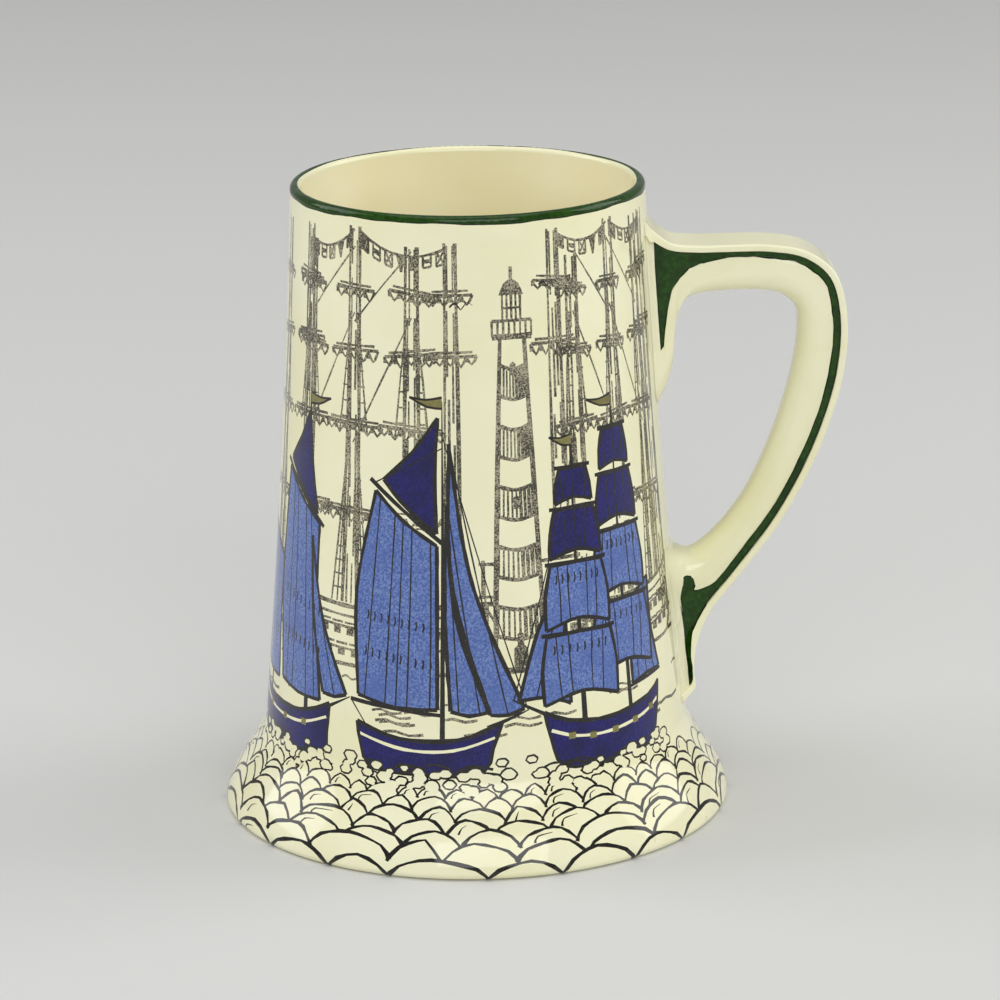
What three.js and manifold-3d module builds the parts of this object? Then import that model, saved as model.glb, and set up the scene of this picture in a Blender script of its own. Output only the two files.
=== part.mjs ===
// A glazed earthenware tankard: a hollow body with slightly hollow sides on a flared foot,
// and one moulded handle, all fired as a single piece. Millimetres, +Z up. The axis of the
// body is Z, the underside of the foot lies on Z = 0 and the handle points to +X.

import * as THREE from 'three';
import { mergeVertices } from 'three/addons/utils/BufferGeometryUtils.js';
import Module from 'manifold-3d';

// Body, outside
const height = 140;
const rimRadius = 38.3;
const waistRadius = 46.7;
const footRadius = 56.1;
const waistHeight = 21;
const sideHollow = 0.75;
const footEdge = 1.6;
const footSlope = -0.2;

// Body, inside
const wallThickness = 4.2;
const lipThickness = 2.3;
const lipTaper = 24;
const floorThickness = 6;
const floorCorner = 5;

// Handle
const handleAboveFoot = 23;
const handleBelowRim = 8.2;
const handleReach = 42;
const strapWidth = 13;
const strapThickness = 1.5;
const strapEdge = 0.5;
const grooveWidth = 1.65;
const webThickness = 10.6;
const bandWidth = 12.4;
const bandRounding = 5.5;
const jointFillet = 4;

// Fineness of the faceted solid
const roundSteps = 80;
const samplesPerStation = 2;

// Stations along the handle, from the upper joint to the lower one. Each holds the outer
// face's distance out from the wall and height, the inner edge's distance out and height, as
// shares of the handle's reach and rise, and the share of the depth that its web takes.
const handleStations = [
  [-0.004, 1.0, 0.0, 0.622, 0.62],
  [0.027, 0.979, 0.05, 0.655, 0.66],
  [0.111, 0.952, 0.086, 0.7, 0.33],
  [0.238, 0.946, 0.096, 0.772, 0.19],
  [0.38, 0.946, 0.164, 0.828, 0.15],
  [0.628, 0.945, 0.439, 0.846, 0],
  [0.815, 0.93, 0.657, 0.838, 0],
  [0.951, 0.886, 0.737, 0.811, 0],
  [1.0, 0.804, 0.744, 0.766, 0],
  [0.962, 0.676, 0.698, 0.676, 0],
  [0.812, 0.523, 0.561, 0.534, 0],
  [0.598, 0.382, 0.384, 0.41, 0],
  [0.346, 0.262, 0.204, 0.333, 0],
  [0.173, 0.184, 0.09, 0.305, 0.26],
  [0.092, 0.119, 0.03, 0.311, 0.47],
  [0.062, 0.06, 0.001, 0.325, 0.44],
  [0.06, 0.024, -0.007, 0.333, 0.44],
  [-0.003, 0.0, -0.013, 0.348, 0.4],
];

const lipRadius = lipThickness / 2;
const rimHeight = height - lipRadius;
const handleRise = height - handleBelowRim - handleAboveFoot;

const wasm = await Module();
wasm.setup();

// Outside of the side, from the waist to the rim, at a share s of that height
function sideRadius(s) {
  return waistRadius + (rimRadius - waistRadius) * s - 4 * sideHollow * s * (1 - s);
}

// Outside of the flare between the foot's edge and the waist: a Hermite curve that meets the
// side at the same slope
function flareRadius(z) {
  const length = waistHeight - footEdge;
  const u = (z - footEdge) / length;
  const sideSlope = (rimRadius - waistRadius - 4 * sideHollow) / (rimHeight - waistHeight);
  const rounding = u * u * (3 - 2 * u);
  const fromFoot = u * (1 - u) * (1 - u) * length * footSlope;
  const fromWaist = -u * u * (1 - u) * length * sideSlope;
  return footRadius + (waistRadius - footRadius) * rounding + fromFoot + fromWaist;
}

function outerRadius(z) {
  if (z < waistHeight) return flareRadius(z);
  return sideRadius((z - waistHeight) / (rimHeight - waistHeight));
}

function outerSlope(z) {
  const step = 0.05;
  return (outerRadius(z + step) - outerRadius(z - step)) / (2 * step);
}

// The wall keeps its thickness square to the surface and thins towards the lip
function innerRadius(z) {
  const t = Math.min(1, (rimHeight - z) / lipTaper);
  const thickness = lipThickness + (wallThickness - lipThickness) * t * (2 - t);
  return outerRadius(z) - thickness * Math.hypot(1, outerSlope(z));
}

function steps(from, to, count) {
  return Array.from({ length: count + 1 }, (_, i) => from + ((to - from) * i) / count);
}

function arc(centreX, centreY, radius, fromDegrees, toDegrees, count) {
  return steps(fromDegrees, toDegrees, count).map((degrees) => {
    const angle = THREE.MathUtils.degToRad(degrees);
    return new THREE.Vector2(centreX + radius * Math.cos(angle), centreY + radius * Math.sin(angle));
  });
}

// Inside of the cup from the axis out along the floor, round its corner and up to the lip
function insideProfile() {
  const lean = Math.atan(-outerSlope(floorThickness + floorCorner));
  const start = floorThickness + floorCorner * (1 + Math.sin(lean));
  const centre = innerRadius(start) - floorCorner * Math.cos(lean);
  const corner = arc(centre, floorThickness + floorCorner, floorCorner, -90,
    THREE.MathUtils.radToDeg(lean), 4);
  const flare = steps(start, waistHeight + floorCorner, 4).slice(1);
  const side = steps(waistHeight + floorCorner, rimHeight, 9).slice(1);
  const wall = flare.concat(side).map((z) => new THREE.Vector2(innerRadius(z), z));
  return [new THREE.Vector2(0, floorThickness), ...corner, ...wall];
}

// The whole wall in section, from the axis under the foot round to the axis on the floor
function bodyProfile() {
  const edge = arc(footRadius - footEdge, footEdge, footEdge, -90, 0, 3);
  const flare = steps(footEdge, waistHeight, 10).slice(1);
  const side = steps(waistHeight, rimHeight, 10).slice(1);
  const wall = flare.concat(side).map((z) => new THREE.Vector2(outerRadius(z), z));
  const lip = arc(rimRadius - lipRadius, rimHeight, lipRadius, 0, 180, 6).slice(1, -1);
  return [new THREE.Vector2(0, 0), ...edge, ...wall, ...lip, ...insideProfile().reverse()];
}

// Middle of the wall, closed to the axis above the lip: what the handle's ends stop at
function coreProfile() {
  const side = steps(0, rimHeight, 24).map((z) => {
    const inset = wallThickness / 2;
    return new THREE.Vector2(outerRadius(Math.max(z, footEdge)) - inset, z);
  });
  return [new THREE.Vector2(0, 0), ...side, new THREE.Vector2(0, rimHeight)];
}

function turned(profile) {
  return new THREE.LatheGeometry(profile, roundSteps).rotateX(Math.PI / 2);
}

// Curve through one end of every station, from its distance out from the wall and its height
function handleRail(outIndex, upIndex) {
  const points = handleStations.map((station) => {
    const z = handleAboveFoot + handleRise * station[upIndex];
    return new THREE.Vector3(outerRadius(z) + handleReach * station[outIndex], 0, z);
  });
  return new THREE.CatmullRomCurve3(points, false, 'centripetal');
}

// Half section of the handle: pairs of depth from the strap's face and half width. A flat
// strap, a sunk web and a band that rounds over to the inner edge.
function halfSection(depth, strapDepth, webDepth) {
  const bandStart = strapDepth + webDepth;
  const bandDepth = depth - bandStart;
  const shoulder = Math.min(strapEdge * 1.6, bandDepth / 4);
  const rounding = Math.min(bandRounding, bandDepth - shoulder);
  const nose = steps(90, 0, 5).map((degrees) => {
    const angle = THREE.MathUtils.degToRad(degrees);
    const along = Math.cos(angle) ** 0.8;
    const across = Math.sin(angle) ** 0.8;
    return [depth - rounding * (1 - along), (bandWidth / 2) * across];
  });
  return [
    [0, 0],
    [0, strapWidth / 2 - strapEdge],
    [strapEdge, strapWidth / 2],
    [strapDepth, strapWidth / 2],
    [strapDepth, webThickness / 2],
    [bandStart, webThickness / 2],
    [bandStart + shoulder * 0.3, bandWidth / 2 - shoulder * 0.4],
    ...nose,
  ];
}

// How far the fillet at the wall widens the handle, at a distance from the wall
function filletGrowth(distance) {
  const t = THREE.MathUtils.clamp(1 - distance / jointFillet, 0, 1);
  return jointFillet * (1 - Math.sqrt(1 - t * t));
}

// Depth of the strap along a section that crosses it at a slant
function strapDepthAt(outerCurve, u, direction) {
  const tangent = outerCurve.getTangent(u);
  const squareness = Math.abs(tangent.x * direction.z - tangent.z * direction.x);
  return Math.min(strapThickness / Math.max(squareness, 0.01), strapThickness * 2.7);
}

function webShareAt(u) {
  const place = u * (handleStations.length - 1);
  const index = Math.min(Math.floor(place), handleStations.length - 2);
  const from = handleStations[index][4];
  return from + (handleStations[index + 1][4] - from) * (place - index);
}

// Closed ring of points round the handle at one place, pushed out along X by shift
function handleRing(outerCurve, innerCurve, u, shift) {
  const outer = outerCurve.getPoint(u);
  const across = innerCurve.getPoint(u).sub(outer);
  const depth = across.length();
  const direction = across.clone().normalize();
  const strapDepth = strapDepthAt(outerCurve, u, direction);
  const webDepth = Math.max(grooveWidth, webShareAt(u) * depth);
  const half = halfSection(depth, strapDepth, webDepth).map(([along, width]) => {
    const point = outer.clone().addScaledVector(direction, along);
    const radius = Math.hypot(point.x, width);
    const growth = width > 0 ? filletGrowth(radius - outerRadius(point.z)) : 0;
    const angle = Math.atan2(width, point.x) + growth / radius;
    return new THREE.Vector3(radius * Math.cos(angle) + shift, radius * Math.sin(angle), point.z);
  });
  const mirrored = half.slice(1, -1).reverse().map((p) => new THREE.Vector3(p.x, -p.y, p.z));
  return half.concat(mirrored);
}

// Skin over a list of equal rings, with a flat fan over each end
function loft(rings) {
  const count = rings[0].length;
  const positions = rings.flat().flatMap((p) => [p.x, p.y, p.z]);
  const index = [];
  for (let i = 0; i < rings.length - 1; i += 1) {
    for (let j = 0; j < count; j += 1) {
      const a = i * count + j;
      const b = i * count + ((j + 1) % count);
      index.push(a, a + count, b, b, a + count, b + count);
    }
  }
  const last = (rings.length - 1) * count;
  for (let j = 1; j < count - 1; j += 1) {
    index.push(0, j, j + 1);
    index.push(last, last + j + 1, last + j);
  }
  const geometry = new THREE.BufferGeometry();
  geometry.setAttribute('position', new THREE.Float32BufferAttribute(positions, 3));
  geometry.setIndex(index);
  return geometry;
}

function handleGeometry() {
  const outerCurve = handleRail(0, 1);
  const innerCurve = handleRail(2, 3);
  const count = (handleStations.length - 1) * samplesPerStation;
  const rings = steps(0, 1, count).map((u) => handleRing(outerCurve, innerCurve, u, 0));
  const sunk = -wallThickness;
  rings.unshift(handleRing(outerCurve, innerCurve, 0, sunk));
  rings.push(handleRing(outerCurve, innerCurve, 1, sunk));
  return loft(rings);
}

function toSolid(geometry) {
  const bare = geometry.clone();
  bare.deleteAttribute('normal');
  bare.deleteAttribute('uv');
  const merged = mergeVertices(bare);
  const mesh = new wasm.Mesh({
    numProp: 3,
    vertProperties: new Float32Array(merged.attributes.position.array),
    triVerts: new Uint32Array(merged.index.array),
  });
  return new wasm.Manifold(mesh);
}

function toGeometry(solid) {
  const mesh = solid.getMesh();
  const geometry = new THREE.BufferGeometry();
  geometry.setAttribute('position', new THREE.Float32BufferAttribute(mesh.vertProperties, 3));
  geometry.setIndex(Array.from(mesh.triVerts));
  geometry.computeVertexNormals();
  return geometry;
}

function tankardGeometry() {
  const handle = toSolid(handleGeometry()).subtract(toSolid(turned(coreProfile())));
  return toGeometry(toSolid(turned(bodyProfile())).add(handle));
}

const glaze = new THREE.MeshStandardMaterial({ color: 0xeee9c9, roughness: 0.15, metalness: 0 });
const tankard = new THREE.Mesh(tankardGeometry(), glaze);
tankard.name = 'tankard';

const model = new THREE.Group();
model.add(tankard);

export default model;
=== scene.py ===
"""A glazed earthenware tankard with a printed harbour pattern, a green rim and green handle grooves.

The outside of the body is drawn flat first, as a potter's print is: a sheet with u millimetres
round the body and v millimetres up its profile. The sheet is cut into triangles along every
drawn edge, wrapped round the body, and joined to the lip, the inside, the foot and the handle.
"""
import bisect
import itertools
import math
import random

import bpy
from mathutils import Matrix, Vector, geometry


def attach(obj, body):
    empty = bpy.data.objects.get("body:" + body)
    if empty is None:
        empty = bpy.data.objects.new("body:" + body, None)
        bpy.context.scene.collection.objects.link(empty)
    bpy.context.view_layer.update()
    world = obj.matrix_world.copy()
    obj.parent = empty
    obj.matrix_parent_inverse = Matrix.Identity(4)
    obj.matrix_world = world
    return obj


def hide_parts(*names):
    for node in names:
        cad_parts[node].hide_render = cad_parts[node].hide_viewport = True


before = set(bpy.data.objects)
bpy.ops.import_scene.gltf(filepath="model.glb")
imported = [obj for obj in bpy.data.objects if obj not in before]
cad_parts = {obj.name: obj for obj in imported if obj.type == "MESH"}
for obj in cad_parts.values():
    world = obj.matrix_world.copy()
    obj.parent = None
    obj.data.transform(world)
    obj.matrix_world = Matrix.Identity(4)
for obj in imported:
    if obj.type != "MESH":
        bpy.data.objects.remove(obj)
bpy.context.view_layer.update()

MM = 0.001

# Sizes of the solid, in millimetres. The handle's reach is 0.1 less than the solid's, so that its
# rounder shape stays inside the solid's box.
HEIGHT = 140
RIM_RADIUS = 38.3
WAIST_RADIUS = 46.7
FOOT_RADIUS = 56.1
WAIST_HEIGHT = 21
SIDE_HOLLOW = 0.75
FOOT_EDGE = 1.6
FOOT_SLOPE = -0.2
WALL_THICKNESS = 4.2
LIP_THICKNESS = 2.3
LIP_TAPER = 24
FLOOR_THICKNESS = 6
FLOOR_CORNER = 5
STILT_RADIUS = 36
HANDLE_ABOVE_FOOT = 23
HANDLE_BELOW_RIM = 8.2
HANDLE_REACH = 41.9
STRAP_WIDTH = 13
STRAP_THICKNESS = 1.5
STRAP_EDGE = 0.5
GROOVE_WIDTH = 1.65
WEB_THICKNESS = 10.6
BAND_WIDTH = 12.4
BAND_ROUNDING = 5.5
JOINT_FILLET = 4

LIP_RADIUS = LIP_THICKNESS / 2
RIM_HEIGHT = HEIGHT - LIP_RADIUS
HANDLE_RISE = HEIGHT - HANDLE_BELOW_RIM - HANDLE_ABOVE_FOOT

# Stations along the handle from the upper joint to the lower one: outer face out and up, inner
# edge out and up, as shares of the handle's reach and rise, and the web's share of the depth
HANDLE_STATIONS = (
    (-0.004, 1.0, 0.0, 0.622, 0.62),
    (0.027, 0.979, 0.05, 0.655, 0.66),
    (0.111, 0.952, 0.086, 0.7, 0.33),
    (0.238, 0.946, 0.096, 0.772, 0.19),
    (0.38, 0.946, 0.164, 0.828, 0.15),
    (0.628, 0.945, 0.439, 0.846, 0),
    (0.815, 0.93, 0.657, 0.838, 0),
    (0.951, 0.886, 0.737, 0.811, 0),
    (1.0, 0.804, 0.744, 0.766, 0),
    (0.962, 0.676, 0.698, 0.676, 0),
    (0.812, 0.523, 0.561, 0.534, 0),
    (0.598, 0.382, 0.384, 0.41, 0),
    (0.346, 0.262, 0.204, 0.333, 0),
    (0.173, 0.184, 0.09, 0.305, 0.26),
    (0.092, 0.119, 0.03, 0.311, 0.47),
    (0.062, 0.06, 0.001, 0.325, 0.44),
    (0.06, 0.024, -0.007, 0.333, 0.44),
    (-0.003, 0.0, -0.013, 0.348, 0.4),
)

# The brush's curl of green beside the lower joint, as strokes in the handle's plane, and the
# green's edge along the wall
CURL = (((48.2, 38.0), (47.4, 44.0)), ((47.4, 44.0), (47.3, 50.6)))
CURL_HALF_WIDTH = 1.25
WALL_MARGIN = 1.5
GREEN_EDGE = 0.25

# A handle vertex is a list: x, y, z, normal x, y, z, distance from the wall, depth in the green
WALL_FIELD, GREEN_FIELD = 6, 7

# Fineness of the visible mesh, in columns round the body and millimetres
COLUMNS = 144
LIP_STEPS = 24
LONGEST_CHORD = 3.2
CUT_TOLERANCE = 0.004
WELD_REACH = 0.2

# The flat sheet, its scale on the UV map, and the strip of it that the handle stands on
SHEET_RADIUS = 43
SHEET_WIDTH = 2 * math.pi * SHEET_RADIUS
HALF_SHEET = SHEET_WIDTH / 2
MAP_EDGE = 0.01
MAP_SCALE = 0.98 / SHEET_WIDTH
HANDLE_U = SHEET_RADIUS * math.pi / 2
STRIP_HALF = 11.3
STRIP_LOW = 19.5

# Heights of the print: the green line's edge on the body, the boats' waterline and the horizon
RIM_EDGE_HEIGHT = 138.35
WATERLINE = 24.5
HORIZON = 46
FAR_WEIGHT = 1.5
PORT_HALF = 0.95

# Material slots, in the order of the mesh's material indices
CREAM, GREY, BLACK, BLUE, NAVY, OLIVE, GREEN, CLAY, PINE, PAINTED_SHADE_INSIDE = range(10)
HOLE = -1

# Colours of the glaze outside and of its warmer tone inside, which is painted shade; and the photograph's
# camera: place in metres, turns in radians and the lens as a multiple of the sensor's width
CREAM_LIGHT = (0.92, 0.905, 0.645)
CREAM_DEEP = (0.885, 0.857, 0.555)
# The inside's cream: the same glaze in a warmer, yellower tone, painted as the shade inside the cup
INSIDE_SHADE_PALE = (0.94, 0.885, 0.63)
INSIDE_SHADE_DEEP = (0.91, 0.84, 0.54)
CAMERA_PLACE = (0, -0.878, 0.322)
CAMERA_YAW, CAMERA_PITCH, CAMERA_ROLL = 0.0069, 0.2817, -0.0143
LENS_RATIO = 4.148
SENSOR_WIDTH = 36


# Profile of the body

def side_radius(share):
    return WAIST_RADIUS + (RIM_RADIUS - WAIST_RADIUS) * share - 4 * SIDE_HOLLOW * share * (1 - share)


def flare_radius(z):
    length = WAIST_HEIGHT - FOOT_EDGE
    u = (z - FOOT_EDGE) / length
    side_slope = (RIM_RADIUS - WAIST_RADIUS - 4 * SIDE_HOLLOW) / (RIM_HEIGHT - WAIST_HEIGHT)
    rounding = u * u * (3 - 2 * u)
    from_foot = u * (1 - u) * (1 - u) * length * FOOT_SLOPE
    from_waist = -u * u * (1 - u) * length * side_slope
    return FOOT_RADIUS + (WAIST_RADIUS - FOOT_RADIUS) * rounding + from_foot + from_waist


def outer_radius(z):
    if z < WAIST_HEIGHT:
        return flare_radius(z)
    return side_radius((z - WAIST_HEIGHT) / (RIM_HEIGHT - WAIST_HEIGHT))


def outer_slope(z):
    step = 0.05
    return (outer_radius(z + step) - outer_radius(z - step)) / (2 * step)


def inner_radius(z):
    t = min(1, (RIM_HEIGHT - z) / LIP_TAPER)
    thickness = LIP_THICKNESS + (WALL_THICKNESS - LIP_THICKNESS) * t * (2 - t)
    return outer_radius(z) - thickness * math.hypot(1, outer_slope(z))


def spread(low, high, count):
    """count + 1 even values from low to high."""
    return [low + (high - low) * i / count for i in range(count + 1)]


def arc(centre_x, centre_y, radius_x, radius_y, from_degrees, to_degrees, count):
    """Points of an elliptic arc."""
    return [(centre_x + radius_x * math.cos(math.radians(a)), centre_y + radius_y * math.sin(math.radians(a)))
            for a in spread(from_degrees, to_degrees, count)]


def outside_profile():
    """(radius, z) from the foot's edge up the outside and over the lip to its inner side."""
    edge = arc(FOOT_RADIUS - FOOT_EDGE, FOOT_EDGE, FOOT_EDGE, FOOT_EDGE, -90, 0, 16)
    flare = [(outer_radius(z), z) for z in spread(FOOT_EDGE, WAIST_HEIGHT, 60)[1:]]
    side = [(outer_radius(z), z) for z in spread(WAIST_HEIGHT, RIM_HEIGHT, 120)[1:]]
    lip = arc(RIM_RADIUS - LIP_RADIUS, RIM_HEIGHT, LIP_RADIUS, LIP_RADIUS, 0, 180, LIP_STEPS)[1:]
    return edge + flare + side + lip


def inside_profile():
    """(radius, z) from the lip's inner side down the wall, round the corner and across the floor."""
    lean = math.atan(-outer_slope(FLOOR_THICKNESS + FLOOR_CORNER))
    start = FLOOR_THICKNESS + FLOOR_CORNER * (1 + math.sin(lean))
    centre = inner_radius(start) - FLOOR_CORNER * math.cos(lean)
    side = [(inner_radius(z), z) for z in spread(RIM_HEIGHT, WAIST_HEIGHT + FLOOR_CORNER, 24)]
    flare = [(inner_radius(z), z) for z in spread(WAIST_HEIGHT + FLOOR_CORNER, start, 8)[1:]]
    corner = arc(centre, FLOOR_THICKNESS + FLOOR_CORNER, FLOOR_CORNER, FLOOR_CORNER,
                 math.degrees(lean), -90, 10)[1:]
    floor = [(radius, FLOOR_THICKNESS) for radius in spread(corner[-1][0], 0, 6)[1:]]
    return side + flare + corner + floor


def running_lengths(points):
    """Distance along a path from its start to each of its points."""
    return [0.0, *itertools.accumulate(math.dist(a, b) for a, b in zip(points, points[1:]))]


PROFILE = outside_profile()
RUN = running_lengths(PROFILE)
SHEET_HEIGHT = RUN[-1]


def on_profile(v):
    """Radius, z and outward normal at v millimetres along the outside profile."""
    i = min(max(bisect.bisect_right(RUN, v) - 1, 0), len(RUN) - 2)
    t = (v - RUN[i]) / (RUN[i + 1] - RUN[i])
    before = PROFILE[max(i - 1, 0)]
    here, after = PROFILE[i], PROFILE[i + 1]
    beyond = PROFILE[min(i + 2, len(PROFILE) - 1)]
    first = (after[0] - before[0], after[1] - before[1])
    second = (beyond[0] - here[0], beyond[1] - here[1])
    along = [first[k] + (second[k] - first[k]) * t for k in (0, 1)]
    length = math.hypot(*along)
    return (here[0] + (after[0] - here[0]) * t, here[1] + (after[1] - here[1]) * t,
            along[1] / length, -along[0] / length)


def run_at_height(z):
    """v on the outside of the flare or side at height z."""
    heights = [point[1] for point in PROFILE[:-LIP_STEPS]]
    i = min(bisect.bisect_right(heights, z), len(heights) - 1)
    share = (z - heights[i - 1]) / (heights[i] - heights[i - 1])
    return RUN[i - 1] + (RUN[i] - RUN[i - 1]) * share


def round_point(radius, z, angle):
    """A point in millimetres at an angle from -Y towards +X."""
    return (radius * math.sin(angle), -radius * math.cos(angle), z)


# Flat sheet that the print is drawn on

class Sheet:
    """Inked areas on the flat pattern; what is drawn later lies on top."""

    def __init__(self, seed):
        self.points = []
        self.faces = []
        self.inks = []
        self.clear = []
        self.dice = random.Random(seed)

    def keep_clear_of(self, other):
        """Later lines stop at the coloured areas of another sheet, which will lie over them."""
        for face, ink in zip(other.faces, other.inks):
            if ink in (BLUE, NAVY) and len(face) > 4:
                self.keep_clear([other.points[i] for i in face])

    def keep_clear(self, outline):
        us, vs = zip(*outline)
        self.clear.append((min(us), max(us), min(vs), max(vs), outline))

    def cover(self, outline):
        """Later lines stop at this outline too."""
        for shift in self.shifts(outline):
            self.keep_clear([(u + shift, v) for u, v in outline])

    def covered(self, u, v):
        """Whether a place is on the handle's strip or under a coloured area."""
        if in_strip(u, v):
            return True
        return any(low < u < high and bottom < v < top and inside(outline, u, v)
                   for low, high, bottom, top, outline in self.clear)

    def add(self, other):
        """Lays another sheet's print over this one."""
        first = len(self.points)
        self.points.extend(other.points)
        self.faces.extend(tuple(first + i for i in face) for face in other.faces)
        self.inks.extend(other.inks)

    def area(self, ink, outline):
        """Inks a closed outline, which is kept counterclockwise."""
        if turning(outline) < 0:
            outline = outline[::-1]
        outline = fine(outline + outline[:1])[:-1]
        for shift in self.shifts(outline):
            first = len(self.points)
            self.points.extend((u + shift, v) for u, v in outline)
            self.faces.append(tuple(range(first, len(self.points))))
            self.inks.append(ink)

    def shifts(self, outline):
        """Copies needed where a shape crosses the seam at the back."""
        low = min(u for u, _ in outline)
        high = max(u for u, _ in outline)
        whole = [0]
        if low < -HALF_SHEET:
            whole.append(SHEET_WIDTH)
        if high > HALF_SHEET:
            whole.append(-SHEET_WIDTH)
        return whole

    def stroke(self, ink, path, width, taper=False, wobble=0.12):
        """A pen line of uneven width along a path; taper thins its end."""
        path = fine(path)
        count = len(path)
        left, right = [], []
        for i, (u, v) in enumerate(path):
            before = path[max(i - 1, 0)]
            after = path[min(i + 1, count - 1)]
            run_u, run_v = after[0] - before[0], after[1] - before[1]
            length = math.hypot(run_u, run_v) or 1
            half = width / 2 * (1 + self.dice.uniform(-2, 1) * wobble)
            if taper:
                half *= 1 - 0.8 * i / (count - 1)
            side_u, side_v = -run_v / length * half, run_u / length * half
            left.append((u + side_u, v + side_v))
            right.append((u - side_u, v - side_v))
        for shift in self.shifts(left + right):
            first = len(self.points)
            self.points.extend((u + shift, v) for u, v in left + right)
            for i in range(count - 1):
                self.patch(ink, (first + i, first + i + count, first + i + count + 1, first + i + 1))

    def patch(self, ink, corners):
        """Inks four corners, or the one sound triangle of them in a tight bend."""
        a, b, c, d = corners
        for choice in ((a, b, c, d), (a, b, c), (a, c, d), (a, b, d), (b, c, d)):
            places = [self.points[i] for i in choice]
            halves = [places[:3], [places[0], *places[2:]]] if len(places) == 4 else [places]
            if all(turning(half) > 0.002 for half in halves):
                self.faces.append(choice)
                self.inks.append(ink)
                return


def fine(path):
    """The path with points added where it runs far round the body, so that its edges follow the wall."""
    result = [path[0]]
    for (u1, v1), (u2, v2) in zip(path, path[1:]):
        count = max(1, math.ceil(abs(u2 - u1) / LONGEST_CHORD))
        result.extend((u1 + (u2 - u1) * k / count, v1 + (v2 - v1) * k / count) for k in range(1, count + 1))
    return result


def turning(outline):
    """Twice the area within a closed outline, below zero where it runs clockwise."""
    return sum(a[0] * b[1] - b[0] * a[1] for a, b in zip(outline, outline[1:] + outline[:1]))


def inside(outline, u, v):
    """Whether a place is inside a closed outline."""
    result = False
    for (u1, v1), (u2, v2) in zip(outline, outline[-1:] + outline[:-1]):
        if (v1 > v) != (v2 > v) and u < (u2 - u1) * (v - v1) / (v2 - v1) + u1:
            result = not result
    return result


def curve(points, step, closed=False):
    """Smooth path through points, with a point about every step."""
    ends = (points[-1], points[0], points[1]) if closed else (points[0], points[-1], points[-1])
    wide = [ends[0], *points, ends[1]] + ([ends[2]] if closed else [])
    path = []
    for a, b, c, d in zip(wide, wide[1:], wide[2:], wide[3:]):
        count = max(1, round(math.dist(b, c) / step))
        for i in range(count):
            t = i / count
            path.append(tuple(
                b[k] + 0.5 * t * (c[k] - a[k] + t * (2 * a[k] - 5 * b[k] + 4 * c[k] - d[k]
                + t * (3 * (b[k] - c[k]) + d[k] - a[k]))) for k in (0, 1)))
    return path if closed else path + [points[-1]]


def box(u, v, half_width, half_height):
    """Corners of an upright rectangle round its middle."""
    return [(u - half_width, v - half_height), (u + half_width, v - half_height),
            (u + half_width, v + half_height), (u - half_width, v + half_height)]


def line(start, end, step):
    count = max(1, round(math.dist(start, end) / step))
    return list(zip(spread(start[0], end[0], count), spread(start[1], end[1], count)))


# Handle

def rail(out_index, up_index):
    """Points in the handle's plane, (x, z), at one end of every station."""
    points = []
    for station in HANDLE_STATIONS:
        z = HANDLE_ABOVE_FOOT + HANDLE_RISE * station[up_index]
        points.append((outer_radius(z) + HANDLE_REACH * station[out_index], z))
    return points


def rail_point(points, place):
    """Centripetal Catmull-Rom curve through the points; place counts stations."""
    i = min(int(place), len(points) - 2)
    t = place - i
    p1, p2 = points[i], points[i + 1]
    p0 = points[i - 1] if i > 0 else (2 * p1[0] - p2[0], 2 * p1[1] - p2[1])
    p3 = points[i + 2] if i + 2 < len(points) else (2 * p2[0] - p1[0], 2 * p2[1] - p1[1])
    d0, d1, d2 = (math.sqrt(math.dist(a, b)) for a, b in ((p0, p1), (p1, p2), (p2, p3)))
    result = []
    for a, b, c, d in zip(p0, p1, p2, p3):
        start = ((b - a) / d0 - (c - a) / (d0 + d1) + (c - b) / d1) * d1
        end = ((c - b) / d1 - (d - b) / (d1 + d2) + (d - c) / d2) * d1
        result.append(b + start * t + (3 * (c - b) - 2 * start - end) * t * t
                      + (2 * (b - c) + start + end) * t ** 3)
    return result


def rail_tangent(points, place):
    step = 0.01
    low, high = max(place - step, 0), min(place + step, len(points) - 1)
    before, after = rail_point(points, low), rail_point(points, high)
    run = [after[0] - before[0], after[1] - before[1]]
    length = math.hypot(*run)
    return run[0] / length, run[1] / length


def half_section(depth, strap_depth, web_depth):
    """Depth and half width of points from the middle of the strap's face to the inner edge."""
    band_start = strap_depth + web_depth
    band_depth = depth - band_start
    shoulder = min(STRAP_EDGE * 1.6, band_depth / 4)
    rounding = min(BAND_ROUNDING, band_depth - shoulder)
    half, web = STRAP_WIDTH / 2, WEB_THICKNESS / 2
    corner = min(0.25, strap_depth / 5)
    points = [(0, 0), (0, half * 0.35), (0, half * 0.7)]
    points += [(y, x) for x, y in arc(half - STRAP_EDGE, STRAP_EDGE, STRAP_EDGE, STRAP_EDGE, -90, 0, 5)]
    points += [(y, x) for x, y in arc(half - corner, strap_depth - corner, corner, corner, 0, 90, 3)]
    points += [(y, x) for x, y in arc(web + corner, strap_depth + corner, corner, corner, 270, 180, 3)]
    points += [(strap_depth + web_depth * 0.5, web)]
    points += [(band_start - corner, web), (band_start, web + 0.12)]
    points += [(band_start + shoulder * 0.3, BAND_WIDTH / 2 - shoulder * 0.4)]
    for degrees in spread(90, 0, 11):
        angle = math.radians(degrees)
        along = max(math.cos(angle), 0) ** 0.8
        across = max(math.sin(angle), 0) ** 0.8
        points.append((depth - rounding * (1 - along), BAND_WIDTH / 2 * across))
    return points


def fillet_growth(distance):
    t = min(max(1 - distance / JOINT_FILLET, 0), 1)
    return JOINT_FILLET * (1 - math.sqrt(1 - t * t))


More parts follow.
